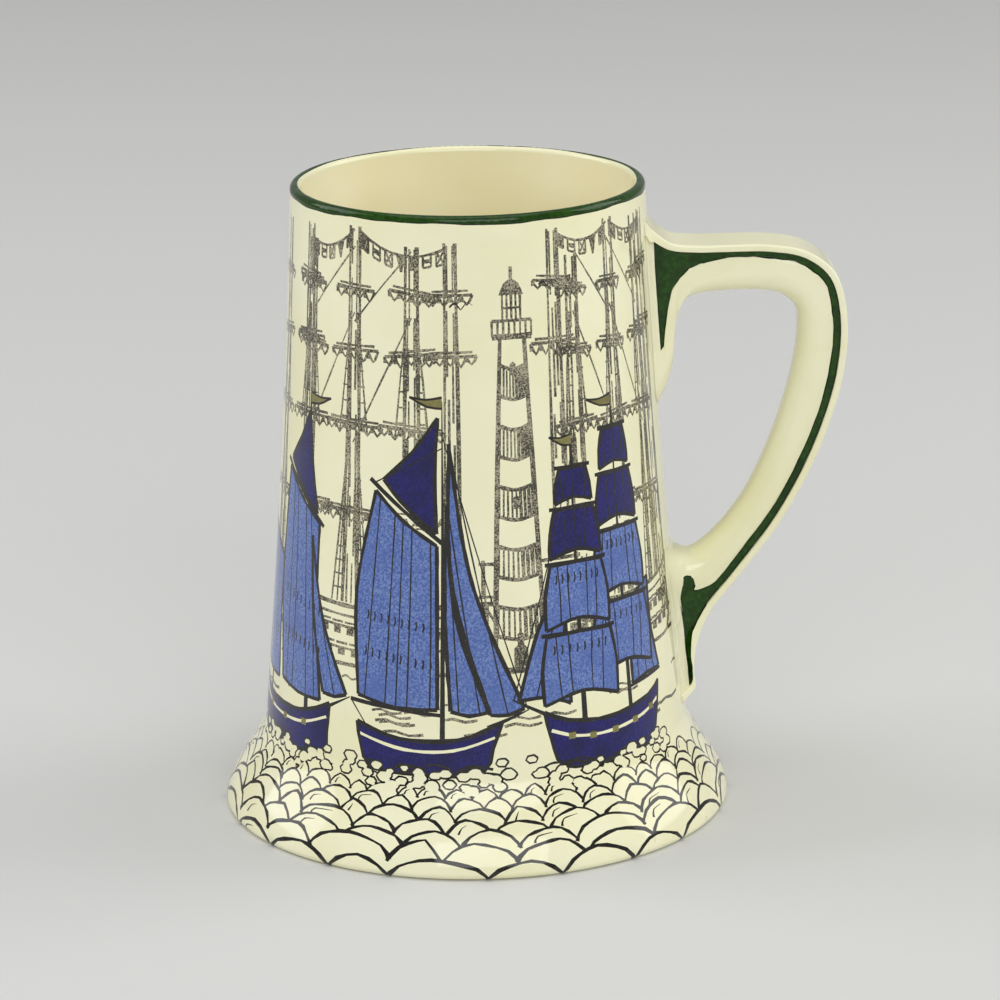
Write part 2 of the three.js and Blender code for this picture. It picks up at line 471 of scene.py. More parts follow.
def curl_distance(x, z):
    """Distance in the handle's plane from the brush's curl beside the lower joint."""
    nearest = 99
    for start, end in CURL:
        run = (end[0] - start[0], end[1] - start[1])
        t = ((x - start[0]) * run[0] + (z - start[1]) * run[1]) / (run[0] ** 2 + run[1] ** 2)
        t = min(max(t, 0), 1)
        nearest = min(nearest, math.dist((x, z), (start[0] + run[0] * t, start[1] + run[1] * t)))
    return nearest


def handle_ring(outer, inner, place, shift):
    """Points of one ring: (position, distance from the wall, depth inside the green's edges)."""
    start = rail_point(outer, place)
    end = rail_point(inner, place)
    depth = math.dist(start, end)
    direction = ((end[0] - start[0]) / depth, (end[1] - start[1]) / depth)
    tangent = rail_tangent(outer, place)
    squareness = abs(tangent[0] * direction[1] - tangent[1] * direction[0])
    strap_depth = min(STRAP_THICKNESS / max(squareness, 0.01), STRAP_THICKNESS * 2.7)
    index = min(int(place), len(HANDLE_STATIONS) - 2)
    share = HANDLE_STATIONS[index][4]
    share += (HANDLE_STATIONS[index + 1][4] - share) * (place - index)
    web_depth = max(GROOVE_WIDTH, share * depth)
    wobble = 0.1 * math.sin(place * 5.1) + 0.07 * math.sin(place * 13.7 + 1)
    half = []
    for along, width in half_section(depth, strap_depth, web_depth):
        x = start[0] + direction[0] * along
        z = start[1] + direction[1] * along
        radius = math.hypot(x, width)
        distance = radius - outer_radius(z)
        angle = math.atan2(width, x)
        if width > 0.01:
            angle += fillet_growth(distance) / radius
        green = min(along - strap_depth * 0.99 - max(wobble, 0) * 0.3,
                    strap_depth + web_depth + 0.12 + wobble - along,
                    distance - WALL_MARGIN - wobble)
        if width > 4.5:
            curl = CURL_HALF_WIDTH + wobble - curl_distance(x, z)
            green = max(green, min(curl, along - strap_depth * 0.99))
        position = (radius * math.cos(angle) + shift, radius * math.sin(angle), z)
        beyond = math.hypot(position[0], position[1]) - outer_radius(z)
        half.append((position, beyond, green))
    mirrored = [((x, -y, z), beyond, green) for (x, y, z), beyond, green in reversed(half[1:-1])]
    return half + mirrored


def handle_places():
    """Places along the rails, closer together near the two joints."""
    places = []
    for index in range(len(HANDLE_STATIONS) - 1):
        near_joint = index < 3 or index > 13
        count = 9 if near_joint else 6
        places += spread(index, index + 1, count)[:-1]
    return places + [len(HANDLE_STATIONS) - 1]


def handle_surface():
    """Vertices and triangles of the whole lofted handle, with its ends sunk in the wall."""
    outer, inner = rail(0, 1), rail(2, 3)
    places = handle_places()
    rings = [handle_ring(outer, inner, places[0], -WALL_THICKNESS)]
    rings += [handle_ring(outer, inner, place, 0) for place in places]
    rings += [handle_ring(outer, inner, places[-1], -WALL_THICKNESS)]
    count = len(rings[0])
    vertices = []
    for i, ring in enumerate(rings):
        before, after = rings[max(i - 1, 0)], rings[min(i + 1, len(rings) - 1)]
        for j, (position, beyond, green) in enumerate(ring):
            along = Vector(after[j][0]) - Vector(before[j][0])
            across = Vector(ring[(j + 1) % count][0]) - Vector(ring[j - 1][0])
            normal = along.cross(across).normalized()
            vertices.append([*position, *normal, beyond, green])
    rows = running_lengths([ring[0][0] for ring in rings])
    middle = [position for position, beyond, green in rings[len(rings) // 2]]
    columns = running_lengths(middle + middle[:1])
    triangles = []
    for i in range(len(rings) - 1):
        for j in range(count):
            k = (j + 1) % count
            a = (i * count + j, (rows[i], columns[j]))
            b = (i * count + k, (rows[i], columns[j + 1]))
            c = ((i + 1) * count + j, (rows[i + 1], columns[j]))
            d = ((i + 1) * count + k, (rows[i + 1], columns[j + 1]))
            triangles.append((a, c, b))
            triangles.append((b, c, d))
    return vertices, triangles


def split_along(vertices, triangles, field, level, snap):
    """Triangles cut where a field of their vertices crosses a level, so that none straddles it."""
    for vertex in vertices:
        if abs(vertex[field] - level) < snap:
            vertex[field] = level
    made = {}

    def crossing(a, b):
        for corner in (a, b):
            if vertices[corner[0]][field] == level:
                return corner
        key = (min(a[0], b[0]), max(a[0], b[0]))
        if key not in made:
            first, second = vertices[key[0]], vertices[key[1]]
            t = (level - first[field]) / (second[field] - first[field])
            made[key] = (len(vertices), t)
            vertices.append([p + (q - p) * t for p, q in zip(first, second)])
            vertices[-1][field] = level
        index, t = made[key]
        t = t if a[0] == key[0] else 1 - t
        return index, tuple(p + (q - p) * t for p, q in zip(a[1], b[1]))

    result = []
    for corners in triangles:
        above = [vertices[corner[0]][field] > level for corner in corners]
        if all(above) or not any(above):
            result.append(corners)
            continue
        lone = above.index(sum(above) == 1)
        a, b, c = corners[lone:] + corners[:lone]
        ab, ca = crossing(a, b), crossing(c, a)
        for piece in ((a, ab, ca), (ab, b, c), (ab, c, ca)):
            if len({corner[0] for corner in piece}) == 3:
                result.append(piece)
    return result


def mean(vertices, corners, field):
    return sum(vertices[corner[0]][field] for corner in corners) / 3


def open_loops(triangles):
    """Closed chains of vertex indices along the edges that only one triangle has."""
    following = {}
    for corners in triangles:
        for i in range(3):
            following[(corners[i][0], corners[(i + 1) % 3][0])] = True
    ahead = {a: b for a, b in following if (b, a) not in following}
    loops = []
    while ahead:
        start, at = ahead.popitem()
        loop = [start]
        while at != start:
            loop.append(at)
            at = ahead.pop(at)
        loops.append(loop)
    return loops


# Print on the sheet

def in_strip(u, v):
    """Whether a place on the sheet lies in the plain strip that the handle stands on."""
    return v > STRIP_LOW and abs(u - HANDLE_U) < STRIP_HALF


def open_stretches(sheet, path):
    """Stretches of a path that nothing covers."""
    stretches, here = [], []
    covered = [sheet.covered(*point) for point in path]
    for before, after, was, will in zip(path, path[1:], covered, covered[1:]):
        if not was and not here:
            here = [before]
        if was == will:
            if not was:
                here.append(after)
            continue
        low, high = 0.0, 1.0
        for _ in range(7):
            middle = (low + high) / 2
            point = [p + (q - p) * middle for p, q in zip(before, after)]
            if sheet.covered(*point) == was:
                low = middle
            else:
                high = middle
        cut = tuple(p + (q - p) * low for p, q in zip(before, after))
        if was:
            here = [cut, after]
        else:
            stretches.append(here + [cut])
            here = []
    if here:
        stretches.append(here)
    return [s for s in stretches if sum(math.dist(a, b) for a, b in zip(s, s[1:])) > 0.3]


def pen(sheet, ink, points, width, taper=False, wobble=0.12, smooth=True):
    """A drawn line through points, stopped where something covers it."""
    length = sum(math.dist(a, b) for a, b in zip(points, points[1:]))
    path = curve(points, min(3, max(0.75, length / 7))) if smooth else points
    if ink == GREY:
        width *= FAR_WEIGHT
    for stretch in open_stretches(sheet, path):
        sheet.stroke(ink, stretch, width, taper, wobble)


def ruled(sheet, start, end, width):
    """A straight grey line as a hand draws it, with a slight sway."""
    length = math.dist(start, end) or 1
    sway = sheet.dice.uniform(-0.22, 0.22)
    count = max(1, round(length / 14))
    path = []
    for i in range(count + 1):
        t = i / count
        bend = math.sin(math.pi * t) * sway / length
        path.append((start[0] + (end[0] - start[0]) * t + (end[1] - start[1]) * bend,
                     start[1] + (end[1] - start[1]) * t - (end[0] - start[0]) * bend))
    pen(sheet, GREY, path, width, wobble=0.16, smooth=False)


def sail(sheet, corners, bows, ink, seams, outline=0.9):
    """A panel of cloth with bowed sides: its foot first, then round it."""
    sides = []
    for start, end, bow in zip(corners, corners[1:] + corners[:1], bows):
        run = (end[0] - start[0], end[1] - start[1])
        middle = (start[0] + run[0] / 2 + run[1] * bow, start[1] + run[1] / 2 - run[0] * bow)
        sides.append(curve([start, middle, end], 2.3))
    sheet.area(ink, [point for side in sides for point in side[:-1]])
    foot = sides[0]
    head = sides[2] if len(sides) > 3 else [sides[1][-1], sides[1][-1]]
    for seam in range(1, seams):
        t = seam / seams
        low = foot[round(t * (len(foot) - 1))]
        high = head[round((1 - t) * (len(head) - 1))]
        middle = ((low[0] + high[0]) / 2 + sheet.dice.uniform(-0.3, 0.3), (low[1] + high[1]) / 2)
        sheet.stroke(BLACK, curve([low, middle, high], 3), 0.34)
    for side in sides:
        sheet.stroke(BLACK, side, outline)


def reefs(sheet, start, end, count):
    """A row of short ties across a sail."""
    for u, v in line(start, end, math.dist(start, end) / count):
        sheet.stroke(BLACK, [(u, v + 0.9), (u + 0.15, v), (u - 0.1, v - 1.1)], 0.4)


def hull(sheet, points, stripe, ports):
    """A boat's side from its sheer line down to the water, with a pale stripe and olive ports."""
    deck, side = points
    outline = curve(deck, 2.5) + curve(side, 2.5)[1:-1]
    sheet.area(NAVY, outline)
    sheet.stroke(CREAM, curve(stripe, 2), 0.7)
    for share in ports:
        path = curve(stripe, 0.5)
        u, v = path[round(share * (len(path) - 1))]
        sheet.area(OLIVE, box(u, v, 0.8, 0.75))
        sheet.stroke(BLACK, [(u - 0.9, v + 0.8), (u + 0.9, v + 0.8)], 0.35)
    sheet.stroke(BLACK, curve(deck, 2.5), 1.0)
    sheet.stroke(BLACK, curve(side, 2.5), 0.8)


def pennant(sheet, u, v, way, length=7.5):
    tip = [(u, v + 1.5), (u + way * length * 0.5, v + 0.9), (u + way * length, v + 1.3)]
    back = [(u + way * length, v + 1.3), (u + way * length * 0.45, v - 0.6), (u, v - 0.9)]
    sheet.area(OLIVE, curve(tip, 1.5) + curve(back, 1.5)[1:])
    sheet.stroke(BLACK, curve(tip, 1.5), 0.5)
    sheet.stroke(BLACK, curve(back, 1.5), 0.5)


def rig(sheet, u, v, way):
    """Functions that place points, draw spars and ropes, and set sails on a boat heading one way."""
    def here(*points):
        return [(u + x * way, v + y) for x, y in points]

    def spar(width, *points, taper=False):
        sheet.stroke(BLACK, here(*points), width, taper)

    def cloth(ink, seams, bows, *corners):
        sail(sheet, here(*corners), bows, ink, seams)

    return here, spar, cloth


def cutter(sheet, u, v, way):
    """A single-masted boat under a gaff sail, topsail and two headsails."""
    here, spar, cloth = rig(sheet, u, v, way)
    spar(1.2, (12, 9.5), (20.5, 13), taper=True)
    cloth(BLUE, 2, (0.1, -0.05, 0.06), (12.6, 12.3), (19.6, 13.4), (4.6, 71))
    cloth(BLUE, 3, (0.12, -0.06, 0.02), (4.6, 13.2), (12.2, 13), (4.2, 58))
    cloth(BLUE, 6, (-0.05, -0.06, 0.04, 0), (1.9, 13.4), (-15.6, 15), (-12.2, 60), (1.9, 49))
    cloth(NAVY, 1, (-0.03, 0.04, 0.02), (1.8, 51.6), (-10.4, 62.5), (2.2, 76.5))
    reefs(sheet, *here((0.5, 23), (-14, 25)), 9)
    reefs(sheet, *here((0.5, 31), (-13.6, 33)), 9)
    spar(1.3, (2.9, 6), (3.1, 40), (3.2, 80), taper=True)
    spar(0.95, (3.2, 12.2), (-17.4, 13.8))
    spar(0.95, (3.1, 49.6), (-13.6, 62.4))
    spar(0.3, (3.1, 70), (-12.6, 61.6))
    spar(0.3, (3.4, 72), (20.3, 13))
    spar(0.35, (-17.2, 13.6), (-13, 8))
    hull(sheet, (here((-15.6, 9.2), (-6, 6.6), (6, 7), (15, 10.6)),
                 here((15, 10.6), (13, 5), (10.8, -0.4), (0, -0.9), (-11.8, -0.4), (-14.6, 4), (-15.6, 9.2))),
         here((-15, 6.6), (-5, 4.3), (5, 4.6), (13.4, 7.4)), ())
    pennant(sheet, *here((3.2, 79.4))[0], -way)


def square_mast(sheet, u, v, way, low, levels):
    """A mast with square sails stacked one above another; the two highest are dark."""
    base = v + low
    for k, (height, foot, head) in enumerate(levels):
        ink = NAVY if k >= len(levels) - 2 else BLUE
        corners = [(u - foot, base), (u + foot, base), (u + head, base + height), (u - head, base + height)]
        sail(sheet, corners, (-0.13, 0.05, 0.015, 0.05), ink, 5 if k < 2 else 4, 0.85)
        yard = base + height + 0.3
        sheet.stroke(BLACK, [(u - head - 1.2, yard), (u + head + 1.2, yard)], 0.9)
        if k < 2:
            reefs(sheet, (u - head * 0.8, base + height - 3), (u + head * 0.8, base + height - 3), 7)
        base += height + 1.3
    sheet.stroke(BLACK, [(u, base - 1), (u + 0.1 * way, base + 4.5)], 0.9, taper=True)
    return base + 4.5


def brig(sheet, u, v, way):
    """A two-masted vessel with square sails."""
    here, spar, cloth = rig(sheet, u, v, way)
    spar(1.3, (-6.2, 8), (-6, 40), (-5.8, 76), taper=True)
    spar(1.3, (6, 8), (6.2, 36), (6.4, 70), taper=True)
    cloth(BLUE, 4, (-0.05, -0.05, 0.04, 0), (-7.4, 13.8), (-17.4, 15), (-15.2, 36), (-7.2, 31))
    top = square_mast(sheet, u - 6 * way, v, way, 17.5,
                      ((15.5, 8.6, 7.6), (14.5, 7.7, 6.3), (11, 6.3, 4.8), (8.5, 4.7, 3.4)))
    pennant(sheet, u - 6 * way, top, way)
    cloth(BLUE, 3, (0.1, -0.05, 0.03), (9, 13.2), (20.2, 15), (8, 44))
    top = square_mast(sheet, u + 6 * way, v, way, 13.2,
                      ((15, 8.8, 7.8), (14, 7.8, 6.4), (10.5, 6.4, 4.9), (7.5, 4.7, 3.4)))
    pennant(sheet, u + 6 * way, top, way, 5.5)
    spar(1.3, (13, 10.6), (21.6, 15.4), taper=True)
    spar(0.3, (6.4, 66), (21.3, 15.2))
    spar(0.8, (-17.8, 14.6), (-6, 13.4))
    hull(sheet, (here((-16.4, 12.2), (-12, 10), (0, 8.4), (10, 9.6), (15, 12)),
                 here((15, 12), (13.8, 6), (11, -0.4), (0, -0.9), (-11.5, -0.4), (-14.6, 4.4),
                      (-16.4, 12.2))),
         here((-15.4, 8.4), (-10, 6.4), (0, 5.2), (8, 5.8), (13.6, 7.8)), (0.12, 0.3, 0.48, 0.66, 0.84))


def lugger(sheet, u, v, way):
    """A two-masted boat with four-sided sails hung from slanting yards."""
    here, spar, cloth = rig(sheet, u, v, way)
    spar(1.3, (8.2, 7), (7, 40), (5.6, 77), taper=True)
    spar(1.2, (-9.4, 7), (-10, 30), (-10.8, 54), taper=True)
    cloth(BLUE, 4, (-0.05, -0.05, 0.03, 0.02), (-4.4, 12), (-17.6, 13.6), (-17, 46), (-5.6, 39))
    cloth(BLUE, 5, (-0.05, -0.05, 0.03, 0.03), (12.6, 11.4), (-2.4, 12.6), (-3.6, 60), (10.4, 50))
    cloth(NAVY, 1, (-0.03, 0.04, 0.02), (9.6, 52), (-2.8, 62), (5.6, 74))
    cloth(BLUE, 2, (0.1, -0.05, 0.04), (13.4, 13.4), (20, 14.2), (8, 47))
    reefs(sheet, *here((11.6, 22), (-2, 24)), 8)
    reefs(sheet, *here((11.2, 31), (-2.4, 33)), 8)
    reefs(sheet, *here((-5.4, 22), (-16.8, 24)), 7)
    spar(1.0, (11.8, 49.6), (-4.8, 61.6))
    spar(0.9, (-4.6, 38.6), (-18, 47))
    spar(1.1, (14, 10), (21, 14), taper=True)
    hull(sheet, (here((-16.4, 10.4), (-8, 7.4), (6, 7.6), (15.6, 11.4)),
                 here((15.6, 11.4), (15.2, 5), (13.6, -0.4), (0, -0.9), (-12.6, -0.4), (-15.8, 4),
                      (-16.4, 10.4))),
         here((-15.8, 7.4), (-7, 4.8), (6, 5), (14.8, 8.2)), (0.25, 0.5, 0.75))
    pennant(sheet, *here((5.6, 76.6))[0], way)


def far_mast(sheet, u, low, high, width):
    """A bare mast in the distance, with a few strokes of shade down one side."""
    lean = sheet.dice.uniform(-0.5, 0.5)
    for offset, pen_width in ((-0.5, 0.5), (0.5, 0.62)):
        ruled(sheet, (u + offset * width, low), (u + lean + offset * width * 0.7, high), pen_width)
    for share in (-0.17, 0.17):
        v = low
        while v < high - 4:
            length = sheet.dice.uniform(6, 20)
            offset = (share + sheet.dice.uniform(-0.06, 0.06)) * width
            top = min(v + length, high - 0.5)
            bend = lean * (v - low) / (high - low)
            ruled(sheet, (u + offset + bend, v), (u + offset + bend, top), sheet.dice.uniform(0.3, 0.44))
            v = top + sheet.dice.uniform(0.4, 6)


def far_yard(sheet, u, v, half, tilt):
    """A yard with its sail rolled up along it."""
    left, right = (u - half, v - tilt), (u + half, v + tilt)
    ruled(sheet, left, right, 0.6)
    ruled(sheet, (left[0] + 1, left[1] + 0.9), (right[0] - 1, right[1] + 0.9), 0.4)
    count = max(4, round(half / 1.25))
    for start, end in zip(line(left, right, 2 * half / count), line(left, right, 2 * half / count)[1:]):
        droop = sheet.dice.uniform(1.7, 2.5)
        middle = ((start[0] + end[0]) / 2, (start[1] + end[1]) / 2 - droop)
        pen(sheet, GREY, curve([start, middle, end], 1.1), 0.42, smooth=False)
        pen(sheet, GREY, [start, (start[0] + 0.1, start[1] - droop * 0.7)], 0.55, smooth=False)


def shrouds(sheet, top, left, right, low, lines, gap):
    """Ropes spread from a masthead to a ship's side, with rungs across them."""
    def head(foot):
        return top[0] + (foot - (left + right) / 2) * 0.12

    for foot in spread(left, right, lines - 1):
        ruled(sheet, (foot, low), (head(foot), top[1]), 0.34)
    v = low + gap
    while v < top[1] - 2.5:
        t = (v - low) / (top[1] - low)
        ends = [foot + (head(foot) - foot) * t for foot in sorted((left, right))]
        ruled(sheet, (ends[0] - 0.3, v), (ends[1] + 0.3, v), 0.28)
        v += gap


def far_ship(sheet, u, v, half, way, masts):
    """A large ship at anchor, in thin grey lines: bare yards, rigging and two rows of ports."""
    for offset, high in masts:
        at_u = u + offset * half * way
        far_mast(sheet, at_u, v + 13, high, 3.9)
        span = half * 0.36
        level = v + 33
        for step in (19, 16, 13, 10, 9):
            if level > high - 5:
                break
            far_yard(sheet, at_u, level, span, sheet.dice.uniform(-0.7, 0.7))
            level += step
            span *= 0.84
        for side in (-1, 1):
            for top, low, outer, inner, lines, gap in ((50, 13, 0.19, 0.07, 3, 3.0),
                                                       (76, 50, 0.15, 0.06, 2, 3.4)):
                left, right = (at_u + side * half * share for share in (outer, inner))
                shrouds(sheet, (at_u + side, v + top), left, right, v + low, lines, gap)
    for (first, _), (second, _) in zip(masts, masts[1:]):
        for low, high in ((48, 76), (74, 90)):
            ruled(sheet, (u + first * half * way, v + low), (u + second * half * way, v + high), 0.3)

    def here(*points):
        return [(u + x * half * way, v + y) for x, y in points]

    deck = here((-1.0, 17), (-0.86, 14.6), (-0.4, 12.6), (0.3, 12.4), (0.8, 14.4), (1.0, 15.6))
    side = here((1.0, 15.6), (0.96, 8), (0.86, 0), (0, -0.5), (-0.86, 0), (-0.94, 7), (-1.0, 17))
    sheet.area(CREAM, curve(deck, 3) + curve(side, 3)[1:-1])
    pen(sheet, GREY, deck, 0.75)
    pen(sheet, GREY, side, 0.65)
    for drop in (2.2, 4.6, 9.4):
        pen(sheet, GREY, [(p, q - drop) for p, q in deck], 0.4)
    for row, drop in ((0, 7.4), (1, 12.0)):
        for k in range(13):
            share = -0.84 + k * 0.135 + row * 0.05
            base = v + 14.2 - drop + (share * share) * 2.2
            left = u + share * half * way
            sheet.area(GREY, box(left, base, PORT_HALF, PORT_HALF))
            pen(sheet, GREY, [(left - 1.5, base + 1.7), (left + 1.5, base + 1.7)], 0.4, smooth=False)


def lighthouse(sheet, u, low, high):
    """A banded tower with a railed gallery and a lantern."""
    def half(v):
        return 5.4 - 2.6 * (v - low) / (high - low)

    body = [(u - half(low), low), (u + half(low), low), (u + half(high), high), (u - half(high), high)]
    sheet.area(CREAM, body)
    for side in (-1, 1):
        ruled(sheet, (u + side * half(low), low), (u + side * half(high), high), 0.75)
    bands = 5
    for k in range(bands):
        bottom = low + (high - low) * (2 * k + 1) / (2 * bands + 1)
        top = low + (high - low) * (2 * k + 2) / (2 * bands + 1)
        for v in (bottom, top):
            pen(sheet, GREY, [(u - half(v), v + 0.5), (u, v - 0.5), (u + half(v), v + 0.5)], 0.6)
        count = 9
        for j in range(count):
            share = -0.92 + 1.84 * j / (count - 1)
            ruled(sheet, (u + share * half(bottom), bottom), (u + share * half(top), top),
                  0.32 + 0.3 * (share > 0.2))
    gallery = high + 0.8
    wide = half(high) + 1.8
    sheet.area(CREAM, [(u - wide, high), (u + wide, high), (u + wide, gallery + 3), (u - wide, gallery + 3)])
    ruled(sheet, (u - wide, high), (u + wide, high), 0.9)
    ruled(sheet, (u - wide, gallery + 2.6), (u + wide, gallery + 2.6), 0.5)
    for p in spread(u - wide, u + wide, 7):
        ruled(sheet, (p, high), (p, gallery + 2.6), 0.4)
    lantern = gallery + 2.6
    for p in spread(u - 2.1, u + 2.1, 4):
        ruled(sheet, (p, lantern), (p, lantern + 5.4), 0.45)
    ruled(sheet, (u - 2.1, lantern + 2.7), (u + 2.1, lantern + 2.7), 0.35)
    dome = [(u - 2.9, lantern + 5.4), (u - 1.8, lantern + 7.8), (u, lantern + 8.8),
            (u + 1.8, lantern + 7.8), (u + 2.9, lantern + 5.4)]
    sheet.area(GREY, curve(dome, 1.2))
    ruled(sheet, (u, lantern + 8.6), (u, lantern + 11.4), 0.5)
    window = low + (high - low) * 0.5
    for v in (low + 6, window, high - 7):
        sheet.area(GREY, [(u - 0.7, v - 1.3), (u + 0.7, v - 1.3), (u + 0.7, v + 1.1), (u, v + 1.7),
                          (u - 0.7, v + 1.1)])
    door = [(u - 1.5, low), (u - 1.5, low + 4), (u, low + 5.4), (u + 1.5, low + 4), (u + 1.5, low)]
    sheet.area(GREY, door)


def windmill(sheet, u, low, high):
    """A tower mill with four lattice sails."""
    body = [(u - 6, low), (u + 6, low), (u + 3.4, high), (u - 3.4, high)]
    sheet.area(CREAM, body)
    for side in (-1, 1):
        ruled(sheet, (u + side * 6, low), (u + side * 3.4, high), 0.7)
    rows = 12
    for k in range(rows):
        v = low + (high - low) * (k + 0.6) / rows
        wide = 6 - 2.6 * (v - low) / (high - low)
        start = u + sheet.dice.uniform(-0.2, 0.5) * wide
        ruled(sheet, (start, v), (u + wide, v), 0.36)
    cap = [(u - 4.2, high), (u - 3, high + 3.4), (u, high + 5), (u + 3, high + 3.4), (u + 4.2, high)]
    sheet.area(CREAM, curve(cap, 1.5))
    pen(sheet, GREY, cap, 0.75)
    ruled(sheet, (u - 4.4, high), (u + 4.4, high), 0.8)
    hub = (u, high + 1.6)
    for quarter in range(4):
        angle = math.radians(38 + 90 * quarter)
        run = (math.cos(angle), math.sin(angle))
        side = (-run[1], run[0])
        far = (hub[0] + run[0] * 25, hub[1] + run[1] * 25)
        ruled(sheet, hub, far, 0.8)
        for offset in (1.7, 3.4):
            ruled(sheet, tuple(h + r * 5 + s * offset for h, r, s in zip(hub, run, side)),
                  tuple(h + r * 25 + s * offset for h, r, s in zip(hub, run, side)), 0.36)
        for k in range(13):
            reach = 5 + k * 20 / 12
            start = (hub[0] + run[0] * reach, hub[1] + run[1] * reach)
            ruled(sheet, start, (start[0] + side[0] * 3.4, start[1] + side[1] * 3.4), 0.34)
    sheet.area(GREY, curve([(u - 1.1, high + 1.6), (u, high + 2.7), (u + 1.1, high + 1.6), (u, high + 0.5)],
                           1, closed=True))


def jetty(sheet, left, right, v):
    """A plank pier on paired piles, with a rail."""
    for offset, width in ((0, 0.75), (1.5, 0.5), (8.6, 0.55)):
        ruled(sheet, (left, v + offset), (right, v + offset), width)
    for u in spread(left, right, max(1, round((right - left) / 1.3))):
        ruled(sheet, (u, v), (u + 0.1, v + 1.5), 0.3)
    for u in spread(left + 1, right - 1, max(1, round((right - left) / 5.2))):
        ruled(sheet, (u - 0.45, v - 15), (u - 0.45, v), 0.5)
        ruled(sheet, (u + 0.55, v - 15), (u + 0.55, v), 0.62)
        ruled(sheet, (u, v + 1.5), (u, v + 9.4), 0.6)
        ruled(sheet, (u + 0.6, v - 1), (u + 4.6, v - 8.5), 0.42)
    ruled(sheet, (left, v - 8.6), (right, v - 8.6), 0.42)


def flags(sheet, start, end, sag, count):
    """A line of signal flags hung between two mastheads."""
    def rope(t):
        drop = 4 * sag * t * (1 - t)
        return (start[0] + (end[0] - start[0]) * t, start[1] + (end[1] - start[1]) * t - drop)

    pen(sheet, GREY, [rope(t) for t in spread(0, 1, 8)], 0.42)
    for k in range(count):
        left, right = rope((k + 0.2) / count), rope((k + 0.8) / count)
        drop = sheet.dice.uniform(2.4, 3.2)
        kind = k % 4
        if kind == 3:
            outline = [left, right, ((left[0] + right[0]) / 2, left[1] - drop * 1.2)]
        else:
            outline = [left, right, (right[0], right[1] - drop), (left[0], left[1] - drop)]
        if any(sheet.covered(*point) for point in outline):
            continue
        sheet.area(GREY if kind in (0, 3) else CREAM, outline)
        for a, b in zip(outline, outline[1:] + outline[:1]):
            ruled(sheet, a, b, 0.36)
        if kind == 1:
            ruled(sheet, (left[0], left[1] - drop / 2), (right[0], right[1] - drop / 2), 0.7)
        if kind == 2:
            ruled(sheet, left, (right[0], right[1] - drop), 0.4)
            ruled(sheet, right, (left[0], left[1] - drop), 0.4)


def crane(sheet, u, low, high, way):
    """A dockside hoist: a latticed post with a braced arm and a load of casks."""
    far_mast(sheet, u, low, high, 3.4)
    tip = (u + 15 * way, high - 2.5)
    for offset in (0, 2.2):
        ruled(sheet, (u, high - offset), (tip[0], tip[1] - offset * 0.4), 0.55)
    for k in range(7):
        x = u + way * 15 * k / 7
        ruled(sheet, (x, high - 0.3 - k * 0.3), (x + way * 2, high - 2 - k * 0.1), 0.36)
    ruled(sheet, (u, high - 17), (u + 10 * way, high - 3.4), 0.6)
    ruled(sheet, (tip[0] - way, tip[1]), (tip[0] - way, tip[1] - 16), 0.4)
    for k in range(3):
        middle = (tip[0] - way + (k - 1) * 2.7, tip[1] - 18.2)
        outline = curve([(middle[0] - 1.3, middle[1]), (middle[0], middle[1] + 1.7),
                         (middle[0] + 1.3, middle[1]), (middle[0], middle[1] - 1.7)], 0.8, closed=True)
        if not any(sheet.covered(*point) for point in outline):
            sheet.area(GREY, outline)


def cloud(sheet, u, v, wide):
    """Hatching under a curled cloud edge."""
    humps = 5
    points = []
    for k in range(humps * 2 + 1):
        share = k / (humps * 2)
        rise = 2.4 * math.sin(math.pi * share) + (1.1 if k % 2 else 0)
        points.append((u - wide / 2 + wide * share, v + rise))
    pen(sheet, GREY, points, 0.5)
    for k in range(4):
        inset = 1.5 + k * 1.6 + sheet.dice.uniform(0, 1.5)
        ruled(sheet, (u - wide / 2 + inset, v - 1.1 * k), (u + wide / 2 - inset * 0.8, v - 1.1 * k), 0.34)


def gull(sheet, u, v, size):
    points = [(u - size, v + 0.2 * size), (u - 0.5 * size, v + 0.55 * size), (u, v),
              (u + 0.5 * size, v + 0.6 * size), (u + 1.05 * size, v + 0.35 * size)]
    pen(sheet, BLACK, points, 0.55, taper=True)


def far_shore(sheet, v):
    """Horizon, low hills with hatching, and the ripples in front of them."""
    dice = sheet.dice
    hills = []
    count = 72
    for k in range(count + 1):
        angle = 2 * math.pi * k / count
        rise = 3.2 + 2.2 * math.sin(3 * angle + 1) + 1.4 * math.sin(7 * angle)
        rise += 0.8 * math.sin(13 * angle + 2)
        hills.append((1 - HALF_SHEET + SHEET_WIDTH * k / count, v + max(rise, 0.6)))
    pen(sheet, GREY, hills, 0.5)
    for u, top in hills[:-1]:
        for k in range(2):
            start = u + k * 1.9 + dice.uniform(-0.3, 0.3)
            ruled(sheet, (start, top - 0.3), (start - 1.2, v + dice.uniform(0, (top - v) * 0.5)), 0.3)
    pen(sheet, GREY, line((1 - HALF_SHEET, v), (1 + HALF_SHEET, v), 3), 0.6, smooth=False)
    for k in range(95):
        u = dice.uniform(-HALF_SHEET + 8, HALF_SHEET - 8)
        depth = dice.uniform(0, 1)
        length = 3 + 7 * depth
        level = v - 1.6 - 15 * depth
        pen(sheet, GREY, [(u, level), (u + length * 0.3, level + 0.5), (u + length * 0.65, level - 0.2),
                          (u + length, level + 0.2)], 0.3 + 0.2 * depth)


